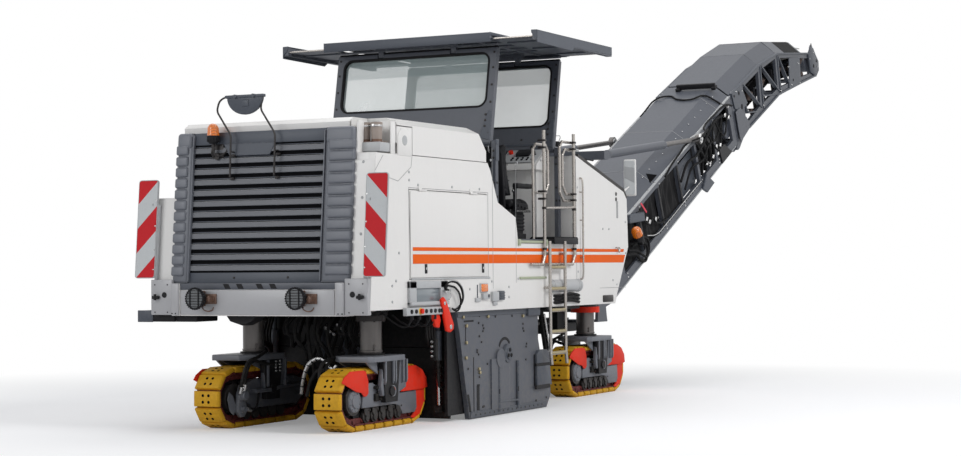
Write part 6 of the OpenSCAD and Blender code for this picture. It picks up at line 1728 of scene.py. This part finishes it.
class PLANER_OT_canopy(bpy.types.Operator):
    """Window seals, headers, roof lips, panel rods, ribs and bolts of the folding canopy"""

    bl_idname = "planer.canopy"
    bl_label = "Canopy"

    def execute(self, context):
        for body, low in (("canopy_rear", 0.379), ("canopy_front", 0.265)):
            put = Matrix.Translation((WALLS[body], 0, 2.7)) @ Matrix.Rotation(math.radians(11), 4, "Y")
            bm = bmesh.new()
            rim(bm, "x", rounded((-0.858, low - 0.013), (0.858, 0.948), 0.103),
                rounded((-0.838, low + 0.007), (0.838, 0.928), 0.083), -0.035, 0.035)
            for y in ((-0.925, -0.465), (-0.385, 0.385), (0.465, 0.925)):
                block(bm, (-0.018, 0.018), y, (0.985, 1.012), 0.003, 1)
            piece(bm, f"{body}_window_seal", "belt_rubber", put, body=body)
            bm = bmesh.new()
            for y in (-0.9, 0.9):
                for z in (0.1, 0.42, 0.6, 0.78, 0.94):
                    bolt(bm, (-0.03, y, z), (-1, 0, 0), 0.009, 0.006)
                    bolt(bm, (0.03, y, z), (1, 0, 0), 0.009, 0.006)
                for z in (0.17, 0.23, 0.29):
                    bolt(bm, (-0.036, y * 0.955, z), (-1, 0, 0), 0.009, 0.006)
            for y in (-0.55, 0.0, 0.55):
                bolt(bm, (-0.03, y, 0.12), (-1, 0, 0), 0.009, 0.006)
            piece(bm, f"{body}_wall_bolts", "dark_steel", put, body=body)
            bm = bmesh.new()
            for side in (-1, 1):
                outline(bm, "x", [(side * 0.8, 0.05), (side * 0.925, 0.02), (side * 0.925, 0.33),
                    (side * 0.88, 0.33)], -0.036, -0.028, 0.003)
            for y in (-0.7, 0.7):
                rod(bm, (0.0, y - 0.07, 0.0), (0.0, y + 0.07, 0.0), 0.033, sides=20)
            block(bm, (-0.0335, -0.029), (-0.7, 0.7), (0.045, 0.075), 0.002, 1)
            piece(bm, f"{body}_brackets", "blue_grey", put, body=body)

        # Posts on the platform: dark hinge plates and their bolts
        bm, bolts = bmesh.new(), bmesh.new()
        for x in WALLS.values():
            block(bm, (x - 0.036, x + 0.036), (0.992, 0.999), (2.52, 2.735), 0.003, 1)
            rod(bm, (x, 0.99, 2.7), (x, 1.004, 2.7), 0.024, sides=20)
            for z in (2.16, 2.3, 2.55, 2.62):
                bolt(bolts, (x - 0.03, 0.968, z), (-1, 0, 0), 0.009, 0.006)
                bolt(bolts, (x, 0.991, z), (0, 1, 0), 0.01, 0.007)
        both_sides(bm)
        both_sides(bolts)
        piece(bm, "canopy_post_plates", "blue_grey")
        piece(bolts, "canopy_post_bolts", "dark_steel")

        # Roof: headers over the walls, ribs below the skin, rolled edges
        bm = bmesh.new()
        for x in WALLS.values():
            block(bm, (x + 0.148, x + 0.224), (-0.925, 0.925), (3.706, 3.722), 0.003, 1)
            block(bm, (x + 0.148, x + 0.224), (-0.485, 0.485), (3.72, 3.772), 0.003, 1)
        for x in (2.42, 2.72, 3.02, 3.32):
            block(bm, (x - 0.02, x + 0.02), (-0.93, 0.93), (3.756, 3.772), 0.004, 1)
        for y in (-0.62, 0.0, 0.62):
            block(bm, (1.88, 3.75), (y - 0.018, y + 0.018), (3.757, 3.771), 0.004, 1)
        piece(bm, "roof_ribs", "grey_paint", body="canopy_roof")
        bm = bmesh.new()
        block(bm, (1.842, 1.852), (-0.969, 0.969), (3.705, 3.801), 0.004)
        block(bm, (3.778, 3.788), (-0.969, 0.969), (3.735, 3.801), 0.004)
        for side in (-1, 1):
            block(bm, (1.845, 3.785), sorted((side * 0.962, side * 0.97)), (3.7705, 3.8035), 0.003)
        piece(bm, "roof_edges", "blue_grey", body="canopy_roof")
        # Sliding panels: deep lips with their stepped lower edge, top sheets and bright rods
        for name, mirrored in (("right", True), ("left", False)):
            body = f"{name}_roof_panel"
            bm = bmesh.new()
            outline(bm, "y", [(1.86, 3.672), (2.7, 3.664), (2.765, 3.704), (3.74, 3.716), (3.74, 3.8),
                (1.86, 3.796)],
                    1.476, 1.483, 0.002, 1)
            outline(bm, "x", [(1.48, 3.798), (1.414, 3.8), (1.414, 3.772), (1.476, 3.7)], 1.86, 1.868, 0.002,
                1)
            block(bm, (1.874, 3.736), (1.414, 1.482), (3.79, 3.7975), 0.003)
            for x in (2.2, 2.8, 3.4):
                block(bm, (x - 0.015, x + 0.015), (0.99, 1.42), (3.718, 3.732), 0.003, 1)
            piece(bm, f"{body}_lip", "blue_grey", body=body, mirrored=mirrored)
            bm = bmesh.new()
            for x in (1.895, 3.715):
                rod(bm, (x, 0.985, 3.74), (x, 1.425, 3.74), 0.0092, sides=48)
            piece(bm, f"{body}_rods", "tube_steel", body=body, mirrored=mirrored)
        return {"FINISHED"}


class PLANER_OT_platform(bpy.types.Operator):
    """Frames, bellows, consoles, treads, ladders and rails of the operator platform"""

    bl_idname = "planer.platform"
    bl_label = "Operator Platform"

    def execute(self, context):
        for name, side in (("right", -1), ("left", 1)):
            self.seat(name, side)
            self.console(name, side)
            self.entrance(name, side)
        return {"FINISHED"}

    def seat(self, name, side):
        y = side * 0.74
        dark, bright = bmesh.new(), bmesh.new()
        # Bellows with bright rims between the pedestal and the seat plate
        for k in range(5):
            z = 1.83 + 0.036 * k
            block(dark, (2.372, 2.748), (y - 0.165, y + 0.165), (z, z + 0.026), 0.012)
            block(dark, (2.385, 2.735), (y - 0.155, y + 0.155), (z + 0.02, z + 0.04))
        for z in (2.022, 2.034):
            block(bright, (2.3, 2.8), (y - 0.216, y + 0.216), (z, z + 0.005), 0.002, 1)
        # Back shell, belt, side levers and armrest pads
        outline(dark, "y", [(2.262, 2.06), (2.3, 2.06), (2.296, 2.2), (2.232, 2.62), (2.214, 2.62)],
            y - 0.165, y + 0.165, 0.008)
        for edge in (-0.245, 0.245):
            block(dark, (2.352, 2.69), (y + edge - 0.034, y + edge + 0.034), (2.262, 2.312), 0.014, 3)
            rod(bright, (2.345, y + edge * 0.99, 2.235), (2.345, y + edge * 0.9, 2.235), 0.018, sides=14)
        for k in range(3):
            rod(dark, (2.47 + 0.08 * k, y - 0.235, 2.085 - 0.012 * k),
                (2.47 + 0.08 * k, y - 0.2, 2.085 - 0.012 * k), 0.016, sides=12)
        outline(dark, "y", [(2.36, 2.05), (2.72, 2.05), (2.7, 2.105), (2.4, 2.115)], y - 0.222, y - 0.207,
            0.005)
        outline(dark, "y", [(2.36, 2.05), (2.72, 2.05), (2.7, 2.105), (2.4, 2.115)], y + 0.207, y + 0.222,
            0.005)
        # Belt over the cushion and its buckle
        rod(bright, (2.262, y, 2.6), (2.222, y, 2.73), 0.011, sides=12)
        rod(bright, (2.262, y - 0.05, 2.57), (2.262, y + 0.05, 2.57), 0.009, sides=10)
        piece(dark, f"{name}_seat_trim", "black_plastic")
        piece(bright, f"{name}_seat_fittings", "silver")

    def console(self, name, side):
        dark, knobs, grey = bmesh.new(), bmesh.new(), bmesh.new()
        tilt = Matrix.Translation((3.195, side * 0.67, 2.628)) @ Matrix.Rotation(math.radians(-30.6), 4, "Y")
        verts = block(grey, (-0.14, 0.14), (-0.205, 0.205), (0.0, 0.01), 0.004, 2)
        turned(grey, verts, tilt)
        verts = block(dark, (-0.02, 0.115), (-0.085, 0.085), (0.008, 0.03), 0.008)
        for row in range(2):
            for k in range(5):
                verts += rod(dark, (-0.095 + 0.04 * row, -0.15 + 0.06 * k, 0.008),
                    (-0.095 + 0.04 * row, -0.15 + 0.06 * k, 0.02), 0.012, sides=12)
        turned(dark, verts, tilt)
        verts = rod(knobs, (0.06, 0.155, 0.008), (0.06, 0.155, 0.04), 0.022, 0.026, 20)
        turned(knobs, verts, tilt)
        verts = rod(dark, (0.02, -0.145, 0.006), (-0.005, -0.145, 0.095), 0.01, sides=10) + ball(dark,
            (-0.008, -0.145, 0.108), 0.024, 14)
        turned(dark, verts, tilt)
        piece(dark, f"{name}_console_controls", "black_plastic")
        piece(grey, f"{name}_console_panel", "pale_grey")
        piece(knobs, f"{name}_console_stop", "red_paint")

    def entrance(self, name, side):
        mirrored = side > 0
        # Treads: ribbed dark mat ahead of the ladder, pale yellow one behind, and the floor's edge
        bm = bmesh.new()
        block(bm, (2.8, 3.4), (-1.215, -0.93), (1.7405, 1.757), 0.004)
        for k in range(14):
            x = 2.82 + 0.043 * k
            block(bm, (x, x + 0.018), (-1.212, -0.935), (1.755, 1.766), 0.003, 1)
        block(bm, (2.8, 3.4), (-1.218, -1.205), (1.69, 1.757), 0.004)
        piece(bm, f"{name}_tread_mat", "black_plastic", mirrored=mirrored)
        bm = bmesh.new()
        for z in (1.71, 1.345):
            block(bm, (2.09, 2.71), (-1.168, -1.1), (z - 0.012, z + 0.012), 0.006)
        piece(bm, f"{name}_pale_treads", "step_green", mirrored=mirrored)
        # Ladder: worn treads with raised teeth
        bm = bmesh.new()
        for z in (0.56, 0.78, 1.000, 1.22, 1.44):
            block(bm, (2.69, 3.04), (-1.236, -1.2), (z - 0.004, z + 0.022), 0.006)
            for k in range(9):
                rod(bm, (2.71 + 0.04 * k, -1.218, z + 0.02), (2.71 + 0.04 * k, -1.218, z + 0.027), 0.009,
                    0.006, 8)
        piece(bm, f"{name}_ladder_treads", "old_brass", mirrored=mirrored)
        # Clamps where the loops meet the tall rails
        bm = bmesh.new()
        for x, z in ((2.636, 2.755), (2.636, 2.682), (2.636, 2.23), (2.636, 2.155), (3.382, 2.77),
            (3.382, 2.7), (3.382, 2.222), (3.382, 2.158)):
            block(bm, (x - 0.03, x + 0.03), (-1.2, -1.12), (z - 0.011, z + 0.011), 0.005)
        for x in (2.636, 3.382):
            for z in (1.64, 2.06):
                rod(bm, (x, -1.18, z - 0.012), (x, -1.18, z + 0.012), 0.024, sides=16)
        piece(bm, f"{name}_rail_clamps", "dark_steel", mirrored=mirrored)


class PLANER_OT_cushions(bpy.types.Operator):
    """Padded seat and back cushions, inflated as cloth"""

    bl_idname = "planer.cushions"
    bl_label = "Seat Cushions"

    def execute(self, context):
        for name, side in (("right", -1), ("left", 1)):
            y = side * 0.74
            for part, points, half in (
                ("base", [(2.345, 2.066), (2.778, 2.066), (2.79, 2.118), (2.74, 2.14), (2.378, 2.124)],
                    0.188),
                ("back", [(2.335, 2.19), (2.424, 2.182), (2.315, 2.7), (2.262, 2.712)], 0.174),
            ):
                bm = bmesh.new()
                outline(bm, "y", points, y - half, y + half, 0.012, 3)
                stands = ("seat_cushions",) if (name, part) == ("right", "base") else ()
                made = piece(bm, f"{name}_{part}_cushion", "seat_cover", stands_for=stands, smooth=80)
                self.inflate(made)
                self.seams(name, part, y)
        return {"FINISHED"}

    def inflate(self, made):
        """Fill a cushion with air as cloth, keep each point near its place, then smooth it"""
        remesh = made.modifiers.new("even", "REMESH")
        remesh.mode, remesh.voxel_size = "VOXEL", 0.006
        self.bake(made)
        before = [v.co.copy() for v in made.data.vertices]
        cloth = made.modifiers.new("air", "CLOTH")
        cloth.settings.use_pressure = True
        cloth.settings.uniform_pressure_force = 4.0
        cloth.settings.effector_weights.gravity = 0
        for k in range(1, 21):
            bpy.context.scene.frame_set(k)
        self.bake(made)
        bpy.context.scene.frame_set(1)
        for v, old in zip(made.data.vertices, before):
            step = v.co - old
            if step.length > 0.024:
                v.co = old + step.normalized() * 0.024
        made.data.shade_smooth()
        fine = made.modifiers.new("smooth", "SUBSURF")
        fine.levels = fine.render_levels = 1

    def bake(self, made):
        """Write what the modifiers make into the mesh"""
        view = bpy.context.evaluated_depsgraph_get()
        mesh = bpy.data.meshes.new_from_object(made.evaluated_get(view))
        old = made.data
        made.modifiers.clear()
        made.data = mesh
        bpy.data.meshes.remove(old)

    def seams(self, name, part, y):
        """Piped seams across a cushion"""
        bm = bmesh.new()
        if part == "base":
            for x in (2.48, 2.62):
                rod(bm, (x, y - 0.17, 2.15), (x, y + 0.17, 2.15), 0.004, sides=8)
        else:
            for z in (2.34, 2.5):
                x = 2.424 - (z - 2.182) * 0.224 + 0.014
                rod(bm, (x, y - 0.155, z), (x, y + 0.155, z), 0.004, sides=8)
        piece(bm, f"{name}_{part}_seams", "belt_rubber")


# The main run

STEPS = (
    PLANER_OT_stage,
    PLANER_OT_finishes,
    PLANER_OT_grille,
    PLANER_OT_rear_fittings,
    PLANER_OT_exhaust,
    PLANER_OT_tracks,
    PLANER_OT_columns,
    PLANER_OT_side_panels,
    PLANER_OT_side_controls,
    PLANER_OT_conveyor,
    PLANER_OT_drum_plates,
    PLANER_OT_underside,
    PLANER_OT_canopy,
    PLANER_OT_platform,
    PLANER_OT_cushions,
)


class PLANER_PT_panel(bpy.types.Panel):
    """Steps that build the machine's look, in order"""

    bl_label = "Cold Planer"
    bl_idname = "PLANER_PT_panel"
    bl_space_type = "VIEW_3D"
    bl_region_type = "UI"
    bl_category = "Planer"

    def draw(self, context):
        for group in (context.scene.planer_paint, context.scene.planer_sizes):
            for name in type(group).__annotations__:
                self.layout.prop(group, name)
        for step in STEPS:
            self.layout.operator(step.bl_idname)


CLASSES = (PlanerPaint, PlanerSizes, *STEPS, PLANER_PT_panel)


def register():
    for cls in CLASSES:
        bpy.utils.register_class(cls)
    bpy.types.Scene.planer_paint = bpy.props.PointerProperty(type=PlanerPaint)
    bpy.types.Scene.planer_sizes = bpy.props.PointerProperty(type=PlanerSizes)


def unregister():
    del bpy.types.Scene.planer_sizes
    del bpy.types.Scene.planer_paint
    for cls in reversed(CLASSES):
        bpy.utils.unregister_class(cls)


def main():
    register()
    for step in STEPS:
        family, name = step.bl_idname.split(".")
        getattr(getattr(bpy.ops, family), name)()


if __name__ == "__main__":
    main()
